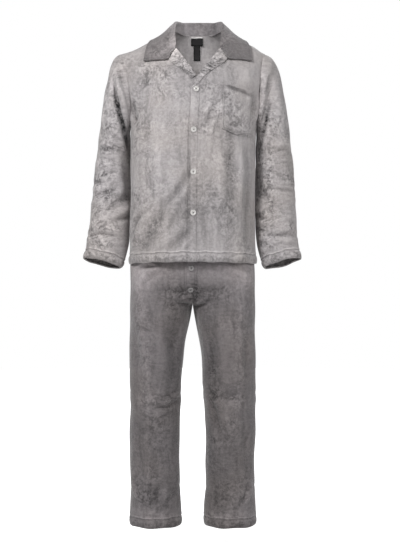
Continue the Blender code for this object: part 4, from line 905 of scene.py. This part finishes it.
@made_once
def plush(name, colour):
    """Soft knitted plush of one colour, with sewing thread along its stitch lines.
    Its colour carries painted light and shade: darker in fold troughs and stitch furrows,
    lighter on fold ridges and the ridge over a hem, and the listed spots' painted light and
    shade.
    """
    made, tree, surface, place = new_material(name)
    streaks, mottling, ripples = PLUSH_NAPS[name]
    nap = placed_group(tree, shared_group("plush_nap", plush_nap_group), {
        "Place": place, "Colour": (*colour, 1.0),
        "Mottling": mottling * colours().mottling, "Streaks": streaks, "Ripples": ripples,
        "Fold": read(tree, "fold"), "Tone": read(tree, "tone"), "Crush": read(tree, "crush")})
    sewn = placed_group(tree, shared_group("sewn_lines", stitch_group), {
        "Line 1": read(tree, "line_1"), "Line 2": read(tree, "line_2"),
        "Along": read(tree, "along")})
    thread_and_painted_shade, height = 1.0, nap["Height"]
    # Painted shade in the stitches' furrow, a painted highlight on the ridge over a hem, and the
    # thread's own lighter colour.
    for part, lighter in (("Furrow", -0.15), ("Ridge", 0.30), ("Thread", colours().thread)):
        thread_and_painted_shade = calc(tree, "MULTIPLY_ADD", sewn[part], lighter, thread_and_painted_shade)
    for part, higher in (("Furrow", -0.6), ("Thread", 0.25), ("Ridge", 1.0), ("Roll", 1.2)):
        height = calc(tree, "MULTIPLY_ADD", sewn[part], higher, height)
    bump = add(tree, "Bump", {"Height": height, "Strength": 0.8, "Distance": 0.0018})
    fill_in(tree, surface, {
        "Base Color": scaled(tree, nap["Colour"], thread_and_painted_shade), "Normal": bump.outputs["Normal"],
        "Roughness": 0.9, "Specular IOR Level": 0.2, "Sheen Weight": 0.35,
        "Sheen Roughness": 0.45})
    return made


@made_once
def pearly_plastic(name, colour):
    """Pearly button plastic with soft swirls."""
    made, tree, surface, place = new_material(name)
    factor = step_between(tree, noise(tree, place, 160.0, 3.0, 0.6), 0.35, 0.65, 0.86, 1.1)
    fill_in(tree, surface, {
        "Base Color": scaled(tree, colour, factor), "Roughness": 0.28, "Coat Weight": 0.4,
        "Coat Roughness": 0.1})
    return made


@made_once
def plain_thread(name, colour):
    """Sewing thread with a fine twist."""
    made, tree, surface, place = new_material(name)
    factor = step_between(tree, noise(tree, place, 1500.0, 1.0), 0.3, 0.7, 0.7, 1.2)
    fill_in(tree, surface, {"Base Color": scaled(tree, colour, factor), "Roughness": 0.8})
    return made


@made_once
def woven_satin(name, colour, field, top):
    """Bare woven satin: a plain border round a field of another colour, and a strip on top."""
    made, tree, surface, place = new_material(name)
    weft = noise(tree, stretched(tree, place, (0.25, 1.0, 1.0)), 2600.0, 1.0)
    factor = step_between(tree, weft, 0.3, 0.7, 0.82, 1.15)
    inside = step_between(tree, read(tree, "line_1"), 0.0, 0.0006)
    mixed = add(tree, "Mix", {0: inside, 6: (*colour, 1.0), 7: (*field, 1.0)},
                data_type="RGBA").outputs[2]
    below = step_between(tree, read(tree, "line_2"), 0.0020, 0.0026)
    mixed = add(tree, "Mix", {0: below, 6: (*top, 1.0), 7: mixed}, data_type="RGBA").outputs[2]
    fill_in(tree, surface, {
        "Base Color": scaled(tree, mixed, factor), "Roughness": 0.6,
        "Specular IOR Level": 0.2})
    return made


# ================================================================ pieces of cloth
def cloth():
    return bpy.context.scene.pajama_cloth


def colours():
    return bpy.context.scene.pajama_colours


def studio():
    return bpy.context.scene.pajama_studio


def at_bottom(z):
    """Picks the open edges along a hem: those below z that run across."""
    return lambda middle, way: (middle[:, 2] < z) & (abs(way[:, 2]) < LEVEL)


def at_front(middle, way):
    """Picks the open edges down the shirt's front opening."""
    return (abs(middle[:, 0] - OPENING_MIDDLE) < OPENING_HALF) & (abs(way[:, 2]) > UPRIGHT) \
        & (middle[:, 1] < OPENING_BACK) & (middle[:, 2] < OPENING_TOP)


def everywhere(middle, way):
    return np.ones(len(middle), bool)


def nowhere(middle, way):
    return np.zeros(len(middle), bool)


def close_gorge(form):
    """Closes the small steps in the collar's rim where the lapels meet it."""
    near = [vert for vert in form.verts if vert.is_boundary
            and vert.co.y < GORGE_FRONT and vert.co.z > GORGE_BOTTOM]
    bmesh.ops.remove_doubles(form, verts=near, dist=GORGE_WELD)


def sewn_sheet(node, material, slot, folds, nap_and_shade_spots, cut, held, facing=None, rests_on=(),
               wall=None, hem=nowhere, strip=nowhere, edge=nowhere, seam=nowhere,
               tuck=SEAM_REACH, pitches=SHIRT_PITCHES, wave=1.0):
    """Makes one cut piece of cloth on the form of its solid node.

    hem, strip, edge and seam pick open edges: hems are rolled and stitched, a strip is
    stitched as far in as a hem, an edge is topstitched, and a seam sinks in. tuck is how
    far the piece reaches under its neighbours.
    """
    settings = cloth()
    form = outside(node, facing, LEDGE)
    if node == "collar":
        close_gorge(form)
        reach_out(form, collar_reach)
    else:
        reach_out(form, lambda place: tuck)
    piece = smooth_sheet(node + "_cloth", form, settings.levels)
    mesh = piece.data
    points, normals = points_of(mesh), normals_of(mesh)
    start, end, way, walked = open_edges(mesh, points)
    middle = (start + end) / 2
    tone, crush = nap_and_shade_at(points, normals, nap_and_shade_spots)

    def from_edges(picker):
        picked = picker(middle, way)
        return distance_to(points, start[picked], end[picked], walked[picked])

    hem_gap, hem_along = from_edges(hem)
    turns = hem_along * 2 * math.pi / RIM_PITCH
    hem_gap += RIM_WAVE * np.clip(hem_gap / settings.hem, 0, 1) \
        * (np.sin(1.3 * turns + 1) + 0.6 * np.sin(3.1 * turns))
    inside_hem = np.clip(hem_gap / settings.hem, 0, 1)
    strip_gap, strip_along = from_edges(strip)
    inside_strip = np.clip(strip_gap / settings.hem, 0, 1)
    edge_gap, edge_along = from_edges(edge)
    seam_gap, _ = from_edges(seam)
    line_2 = np.where(edge_gap < strip_gap, edge_gap - settings.edge_stitch,
                      2 * (strip_gap - settings.hem))
    along = np.where(hem_gap < np.minimum(strip_gap, edge_gap), hem_along,
                     np.where(edge_gap < strip_gap, edge_along, strip_along))
    # Fold heights in millimetres: they shape the cloth and also paint shade into its colour.
    fold = fold_heights(points, normals, folds) * 1000
    height = fold / 1000 + wave * settings.waves * wave_heights(points, pitches)
    roll = np.sin(math.pi * inside_hem)**ROLL_POWER * (1 - 0.85 * bump_at(seam_gap, SEAM_CALM))
    ridge = bump_at(hem_gap - settings.hem - RIDGE_PLACE, RIDGE_WIDTH)
    height += settings.puff * roll + settings.hem_ridge * ridge
    height += settings.puff * STRIP_PUFF * np.sin(math.pi * inside_strip)**ROLL_POWER
    # Painted shade on a hem's roll: darker towards its lower edge, lighter towards its stitches.
    fold += ROLL_SHADE * (inside_hem - 0.75) * (1 - inside_hem**10)
    for gap, place, width in ((hem_gap, settings.hem, HEM_PULL),
                              (strip_gap, settings.hem, STRIP_PULL),
                              (edge_gap, settings.edge_stitch, EDGE_PULL)):
        pull = bump_at(gap - place, width)
        pucker = 0.75 + 0.25 * np.sin(along * 2 * math.pi / PUCKER)
        height -= settings.pinch * pull * pucker * (width / HEM_PULL)
        if gap is hem_gap:
            # Painted highlight on the ridge over the hem, painted shade in its stitches' furrow.
            fold += RIDGE_SHADE * ridge - PULL_SHADE * pull * pucker
    height -= max(SEAM_SINK, 0.6 * tuck) * bump_at(seam_gap, SEAM_WIDTH)
    points += normals * height[:, None]
    points[:, 2] += RIM_WAVE * np.sin(turns) * (1 - inside_hem)
    set_points(mesh, points)
    add_attributes(mesh, line_1=hem_gap - settings.hem, line_2=line_2, along=along, fold=fold,
                   tone=tone, crush=np.maximum(crush, ROLL_CRUSH * roll))
    wall = wall or settings.wall
    finish_sheet(piece, wall, max(wall, settings.hem_wall) if hem is not nowhere else wall,
                 np.minimum(hem_gap, strip_gap) < settings.hem)
    mesh.materials.append(material)
    finish_piece(piece, slot, node)


def finish_piece(piece, slot, *nodes):
    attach(piece, "root")
    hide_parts(*nodes)


def shirt_piece(node, cut, material="shirt_plush_grey", held="hung", facing=FRONT, **sewing):
    """A cut piece of the shirt's body."""
    sewn_sheet(node, plush(material, colours().shirt), "shirt_plush", TORSO_FOLDS, TORSO_NAP_AND_SHADE,
               cut, held, facing=facing, **sewing)


def trouser_piece(node, cut, facing=FRONT, **sewing):
    """A cut piece of the trousers, but for their waistband."""
    sewn_sheet(node, plush("trouser_plush_grey", colours().trousers), "trouser_plush",
               TROUSERS_FOLDS, TROUSERS_NAP_AND_SHADE, cut, "hung", facing=facing, **sewing)


def collar_reach(place):
    """How far the collar's edge reaches: down to the back's neckline behind the neck."""
    behind = smoothstep(place.y, -0.03, 0.005) * (abs(place.x - RING_MIDDLE) < RING_HALF) \
        * (place.z > -0.01) * (place.y < RING_BACK)
    beside = smoothstep(abs(place.x - RING_MIDDLE), 0.03, 0.05)
    return SEAM_REACH + float(behind) * NECK_GAP * (1 + 1.3 * float(beside))


def shirt_seams(middle, way):
    """Picks the shirt panels' side, armhole and shoulder edges."""
    neck = (middle[:, 2] > NECK_BOTTOM) & (abs(middle[:, 0] - NECK_MIDDLE) < NECK_HALF)
    return ~(at_bottom(SHIRT_HEM)(middle, way) | at_front(middle, way) | neck)


def at_leaf_edge(middle, way):
    """Picks the collar's outer edge and leaves out the ring sewn to the neckline."""
    return ~((abs(middle[:, 0] - RING_MIDDLE) < RING_HALF) & (middle[:, 1] < RING_BACK)
             & (middle[:, 2] > RING_BOTTOM))


def at_armhole(middle, way):
    return middle[:, 2] > ARMHOLE


def trouser_seams(middle, way):
    return ~at_bottom(TROUSER_HEM)(middle, way)


def node_frame(node):
    """Points and centre of a round or flat solid, and its thin way, turned to the front."""
    points = points_of(NODES[node].data)
    centre = (points.min(0) + points.max(0)) / 2
    _, _, ways = np.linalg.svd(points - points.mean(0), full_matrices=False)
    thin = Vector(ways[2])
    return points, Vector(centre), thin if thin.y < 0 else -thin


def shifted(centre, facing, folds):
    """Where a point on the cloth lies once the folds and waves have moved the cloth."""
    place, way = np.array([centre]), np.array([facing])
    height = fold_heights(place, way, folds)
    pitches = TROUSER_PITCHES if folds is TROUSERS_FOLDS else SHIRT_PITCHES
    height += cloth().waves * wave_heights(place, pitches) + cloth().puff * STRIP_PUFF
    return centre + facing * float(height[0])


def new_piece(name, work, material, smooth=True):
    """A mesh object of a finished bmesh, with one material."""
    mesh = bpy.data.meshes.new(name)
    work.to_mesh(mesh)
    work.free()
    mesh.materials.append(material)
    if smooth:
        mesh.shade_smooth()
    return new_object(name, mesh)


def add_rod(work, segments, radius, depth, matrix):
    bmesh.ops.create_cone(work, cap_ends=True, segments=segments, radius1=radius,
                          radius2=radius, depth=depth, matrix=matrix)


def make_button(node, folds, material):
    """A rimmed button with four holes, and a cross of thread through them."""
    points, centre, facing = node_frame(node)
    spread = points - np.array(centre)
    radius = np.linalg.norm(spread, axis=1).max() * BUTTON_FIT
    depths = spread @ np.array(facing)
    half = (depths.max() - depths.min()) / 2
    place = Matrix.Translation(shifted(centre, facing, folds)) @ \
        facing.to_track_quat("Z", "Y").to_matrix().to_4x4()
    work = bmesh.new()
    rim = [work.verts.new((radius * r, 0, half * z)) for r, z in BUTTON_PROFILE]
    lines = [work.edges.new(pair) for pair in zip(rim, rim[1:])]
    bmesh.ops.spin(work, geom=rim + lines, axis=(0, 0, 1), cent=(0, 0, 0), steps=BUTTON_STEPS,
                   angle=2 * math.pi, use_merge=True)
    bmesh.ops.remove_doubles(work, verts=work.verts[:], dist=1e-6)
    bmesh.ops.recalc_face_normals(work, faces=work.faces[:])
    piece = new_piece(node + "_plastic", work, material)
    drill = bmesh.new()
    for turn in range(4):
        aside = Matrix.Rotation(math.radians(45 + 90 * turn), 4, "Z") @ \
            Vector((radius * HOLE_PLACE, 0, 0))
        add_rod(drill, 12, radius * HOLE_RADIUS, half * 6, Matrix.Translation(aside))
    drills = new_piece(node + "_drills", drill, material)
    cut = piece.modifiers.new("holes", "BOOLEAN")
    cut.object = drills
    cut.solver = "EXACT"
    drilled = apply_modifiers(piece)
    bpy.data.objects.remove(drills)
    drilled.transform(place)
    drilled.shade_smooth()
    drilled.set_sharp_from_angle(angle=math.radians(40))
    thread = bmesh.new()
    for turn in (45, 135):
        along = Matrix.Rotation(math.radians(turn), 4, "Z") @ \
            Matrix.Translation((0, 0, half * THREAD_HEIGHT)) @ \
            Matrix.Rotation(math.radians(90), 4, "Y")
        add_rod(thread, 10, half * THREAD_RADIUS, radius * HOLE_PLACE * 2, along)
    thread.transform(place)
    strands = new_piece(node + "_thread", thread, plain_thread("dark_thread", DARK_THREAD))
    finish_piece(piece, "button_plastic", node)
    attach(strands, "root")


def make_label(node):
    """A bare woven label: its solid's outer side with a thin wall of its own."""
    piece = smooth_sheet(node + "_cloth", outside(node, FRONT), LABEL_LEVELS)
    mesh = piece.data
    points = points_of(mesh)
    start, end, way, walked = open_edges(mesh, points)
    gap, _ = distance_to(points, start, end, walked)
    top = (start[:, 2] > points[:, 2].max() - LABEL_TOP) & (abs(way[:, 2]) < 0.5)
    from_top, _ = distance_to(points, start[top], end[top], walked[top])
    add_attributes(mesh, line_1=gap - LABEL_BORDER, line_2=from_top)
    set_points(mesh, points + normals_of(mesh) * LABEL_LIFT)
    finish_sheet(piece, cloth().label_wall, cloth().label_wall, gap < 0)
    satin = colours()
    name, top_colour = ("black_satin_looped", satin.loop) if node == "neck_label" \
        else ("black_satin", satin.label)
    mesh.materials.append(woven_satin(name, satin.label, satin.label_field, top_colour))
    finish_piece(piece, "label_cloth", node)


# ================================================================ operators: the shirt
class PAJAMA_OT_shirt_fronts(bpy.types.Operator):
    """The two shirt fronts, with a rolled hem and a stitched front strip"""
    bl_idname = "pajama.shirt_fronts"
    bl_label = "Shirt Fronts"

    def execute(self, context):
        for side, strip, edge in (("left", at_front, nowhere), ("right", nowhere, at_front)):
            shirt_piece("shirt_front_" + side, FRONT_CUT, rests_on=("shirt_back_cloth",),
                        hem=at_bottom(SHIRT_HEM), strip=strip, edge=edge, seam=shirt_seams)
        return {"FINISHED"}


class PAJAMA_OT_shirt_back(bpy.types.Operator):
    """The shirt's back with its rolled hem"""
    bl_idname = "pajama.shirt_back"
    bl_label = "Shirt Back"

    def execute(self, context):
        shirt_piece("shirt_back", BACK_CUT, facing=BACK, hem=at_bottom(SHIRT_HEM),
                    seam=shirt_seams)
        return {"FINISHED"}


class PAJAMA_OT_sleeves(bpy.types.Operator):
    """The two sleeves with their rolled cuffs"""
    bl_idname = "pajama.sleeves"
    bl_label = "Sleeves"

    def execute(self, context):
        for side, folds, nap_and_shade_spots in (("left", LEFT_SLEEVE_FOLDS, LEFT_SLEEVE_NAP_AND_SHADE),
                                  ("right", RIGHT_SLEEVE_FOLDS, RIGHT_SLEEVE_NAP_AND_SHADE)):
            sewn_sheet("sleeve_" + side, plush("sleeve_plush_grey", colours().shirt),
                       "shirt_plush", folds, nap_and_shade_spots, SLEEVE_CUT, "hung",
                       rests_on=("shirt_back_cloth",), hem=at_bottom(CUFF_HEM),
                       seam=at_armhole, tuck=SLEEVE_TUCK, pitches=SLEEVE_PITCHES)
        return {"FINISHED"}


class PAJAMA_OT_collar(bpy.types.Operator):
    """The collar, its leaves turned down over its stand"""
    bl_idname = "pajama.collar"
    bl_label = "Collar"

    def execute(self, context):
        sewn_sheet("collar", plush("collar_plush_grey", colours().collar), "collar_plush", [],
                   TORSO_NAP_AND_SHADE, COLLAR_CUT, "folded", rests_on=("shirt_back_cloth",),
                   wall=cloth().collar_wall, edge=at_leaf_edge, wave=0.5)
        return {"FINISHED"}


class PAJAMA_OT_lapels(bpy.types.Operator):
    """The two lapels turned back over the fronts"""
    bl_idname = "pajama.lapels"
    bl_label = "Lapels"

    def execute(self, context):
        for side in ("left", "right"):
            shirt_piece("lapel_" + side, LAPEL_CUT, "lapel_plush_grey", "folded",
                        rests_on=(f"shirt_front_{side}_cloth",))
        return {"FINISHED"}


class PAJAMA_OT_chest_pocket(bpy.types.Operator):
    """The chest pocket with its turned top band"""
    bl_idname = "pajama.chest_pocket"
    bl_label = "Chest Pocket"

    def execute(self, context):
        shirt_piece("chest_pocket", POCKET_CUT, rests_on=("shirt_front_left_cloth",),
                    edge=everywhere)
        return {"FINISHED"}


# ================================================================ operators: the trousers
class PAJAMA_OT_trousers(bpy.types.Operator):
    """The trousers' four panels with their rolled hems"""
    bl_idname = "pajama.trousers"
    bl_label = "Trousers"

    def execute(self, context):
        for side in ("left", "right"):
            for part, facing in (("front", FRONT), ("back", BACK)):
                trouser_piece(f"trouser_{part}_{side}", LEG_CUT, facing,
                              rests_on=("waistband_cloth",), hem=at_bottom(TROUSER_HEM),
                              seam=trouser_seams, tuck=LEG_TUCK, pitches=TROUSER_PITCHES)
        return {"FINISHED"}


class PAJAMA_OT_waistband(bpy.types.Operator):
    """The elastic waistband, gathered between two lines of stitches"""
    bl_idname = "pajama.waistband"
    bl_label = "Waistband"

    def execute(self, context):
        sewn_sheet("waistband", plush("trouser_plush_grey", colours().trousers),
                   "trouser_plush", [], [], WAIST_CUT, "gathered", edge=everywhere, wave=0.4)
        return {"FINISHED"}


class PAJAMA_OT_fly(bpy.types.Operator):
    """The fly's strip over the trousers' front seam"""
    bl_idname = "pajama.fly"
    bl_label = "Fly"

    def execute(self, context):
        trouser_piece("fly_placket", FLY_CUT, rests_on=("trouser_front_left_cloth",),
                      edge=everywhere)
        return {"FINISHED"}


# ================================================================ operators: labels, buttons
class PAJAMA_OT_labels(bpy.types.Operator):
    """The bare labels inside the back of the neck and inside the front"""
    bl_idname = "pajama.labels"
    bl_label = "Labels"

    def execute(self, context):
        for node in ("neck_label", "care_label"):
            make_label(node)
        return {"FINISHED"}


class PAJAMA_OT_buttons(bpy.types.Operator):
    """The four shirt buttons and two fly buttons, each sewn through four holes"""
    bl_idname = "pajama.buttons"
    bl_label = "Buttons"

    def execute(self, context):
        pearly = pearly_plastic("pearly_plastic_grey", colours().button)
        smoky = pearly_plastic("smoky_plastic_grey", colours().fly_button)
        for number in range(1, 5):
            make_button(f"button_{number}", TORSO_FOLDS, pearly)
        for number in range(1, 3):
            make_button(f"fly_button_{number}", TROUSERS_FOLDS, smoky)
        return {"FINISHED"}


# ================================================================ operator: the stage
class PAJAMA_OT_stage(bpy.types.Operator):
    """A pale floor, soft studio light and the camera"""
    bl_idname = "pajama.stage"
    bl_label = "Studio"

    def execute(self, context):
        make_floor()
        for name, place, power, size in LIGHTS:
            make_light(name, place, getattr(studio(), power), size)
        make_neck_light()
        make_world()
        make_camera()
        settings = context.scene.view_settings
        settings.view_transform = "Standard"
        settings.look = "None"
        return {"FINISHED"}


def make_floor():
    """A pale disc that glows softly where the camera sees it, more so away from the set."""
    made, tree, surface, place = new_material("pale_floor")
    away = add(tree, "VectorMath", {0: place}, operation="LENGTH").outputs["Value"]
    glow = step_between(tree, away, 1.6, 3.2, 0.75, 1.1)
    seen = add(tree, "LightPath").outputs["Is Camera Ray"]
    fill_in(tree, surface, {
        "Base Color": (0.9, 0.9, 0.9, 1), "Roughness": 0.9, "Specular IOR Level": 0.1,
        "Emission Color": (1, 1, 1, 1), "Emission Strength": product_of(tree, glow, seen)})
    work = bmesh.new()
    bmesh.ops.create_circle(work, cap_ends=True, segments=96, radius=FLOOR_RADIUS,
                            matrix=Matrix.Translation((0, 0, studio().floor_height)))
    floor = new_piece("floor", work, made, smooth=False)


def make_light(name, place, power, size):
    lamp = bpy.data.lights.new(name, "AREA")
    lamp.shape = "DISK"
    lamp.size = size
    lamp.energy = power
    aim_light(lamp, place, LIT_POINT)


def make_neck_light():
    """A narrow soft light from the front into the shirt's neck."""
    lamp = bpy.data.lights.new("neck_light", "SPOT")
    lamp.energy = studio().neck_power
    lamp.spot_size = NECK_LIGHT_CONE
    lamp.spot_blend = 1.0
    lamp.shadow_soft_size = 0.02
    aim_light(lamp, NECK_LIGHT_PLACE, NECK_POINT)


def aim_light(lamp, place, point):
    holder = new_object(lamp.name, lamp)
    holder.location = place
    aim = Vector(point) - Vector(place)
    holder.rotation_euler = aim.to_track_quat("-Z", "Y").to_euler()


def make_world():
    """White where the camera looks past everything, softly grey where it lights."""
    world = bpy.context.scene.world or bpy.data.worlds.new("studio")
    bpy.context.scene.world = world
    world.use_nodes = True
    tree = world.node_tree
    tree.nodes.clear()
    strength = add(tree, "Mix", {0: add(tree, "LightPath").outputs["Is Camera Ray"],
                                 2: studio().ambient, 3: 1.0}).outputs[0]
    glow = add(tree, "Background", {"Color": (1, 1, 1, 1), "Strength": strength})
    add(tree, "OutputWorld", {"Surface": glow.outputs[0]})


def make_camera():
    lens = bpy.data.cameras.new("studio_camera")
    lens.lens = studio().lens
    lens.sensor_fit = "VERTICAL"
    lens.sensor_height = SENSOR
    holder = new_object("studio_camera", lens)
    holder.location = studio().camera_place
    holder.rotation_euler = (math.radians(90), 0, 0)
    bpy.context.scene.camera = holder


# ================================================================ panel and start
OPERATORS = (PAJAMA_OT_shirt_back, PAJAMA_OT_shirt_fronts, PAJAMA_OT_sleeves,
             PAJAMA_OT_collar, PAJAMA_OT_lapels, PAJAMA_OT_chest_pocket,
             PAJAMA_OT_waistband, PAJAMA_OT_trousers, PAJAMA_OT_fly, PAJAMA_OT_labels,
             PAJAMA_OT_buttons, PAJAMA_OT_stage)


class PAJAMA_PT_panel(bpy.types.Panel):
    """Lists the settings and the steps that dress the set"""
    bl_idname = "PAJAMA_PT_panel"
    bl_label = "Pajama Set"
    bl_space_type = "VIEW_3D"
    bl_region_type = "UI"
    bl_category = "Pajamas"

    def draw(self, context):
        for settings in (cloth(), colours(), studio()):
            box = self.layout.box()
            for name in settings.bl_rna.properties.keys():
                if name not in ("rna_type", "name"):
                    box.prop(settings, name)
        for operator in OPERATORS:
            self.layout.operator(operator.bl_idname)


CLASSES = (PajamaClothSettings, PajamaColourSettings, PajamaStudioSettings, *OPERATORS,
           PAJAMA_PT_panel)


def register():
    for made in CLASSES:
        bpy.utils.register_class(made)
    bpy.types.Scene.pajama_cloth = PointerProperty(type=PajamaClothSettings)
    bpy.types.Scene.pajama_colours = PointerProperty(type=PajamaColourSettings)
    bpy.types.Scene.pajama_studio = PointerProperty(type=PajamaStudioSettings)


def unregister():
    del bpy.types.Scene.pajama_cloth, bpy.types.Scene.pajama_colours
    del bpy.types.Scene.pajama_studio
    for made in reversed(CLASSES):
        bpy.utils.unregister_class(made)


def main():
    register()
    for operator in OPERATORS:
        group, name = operator.bl_idname.split(".")
        getattr(getattr(bpy.ops, group), name)()


if __name__ == "__main__":
    main()
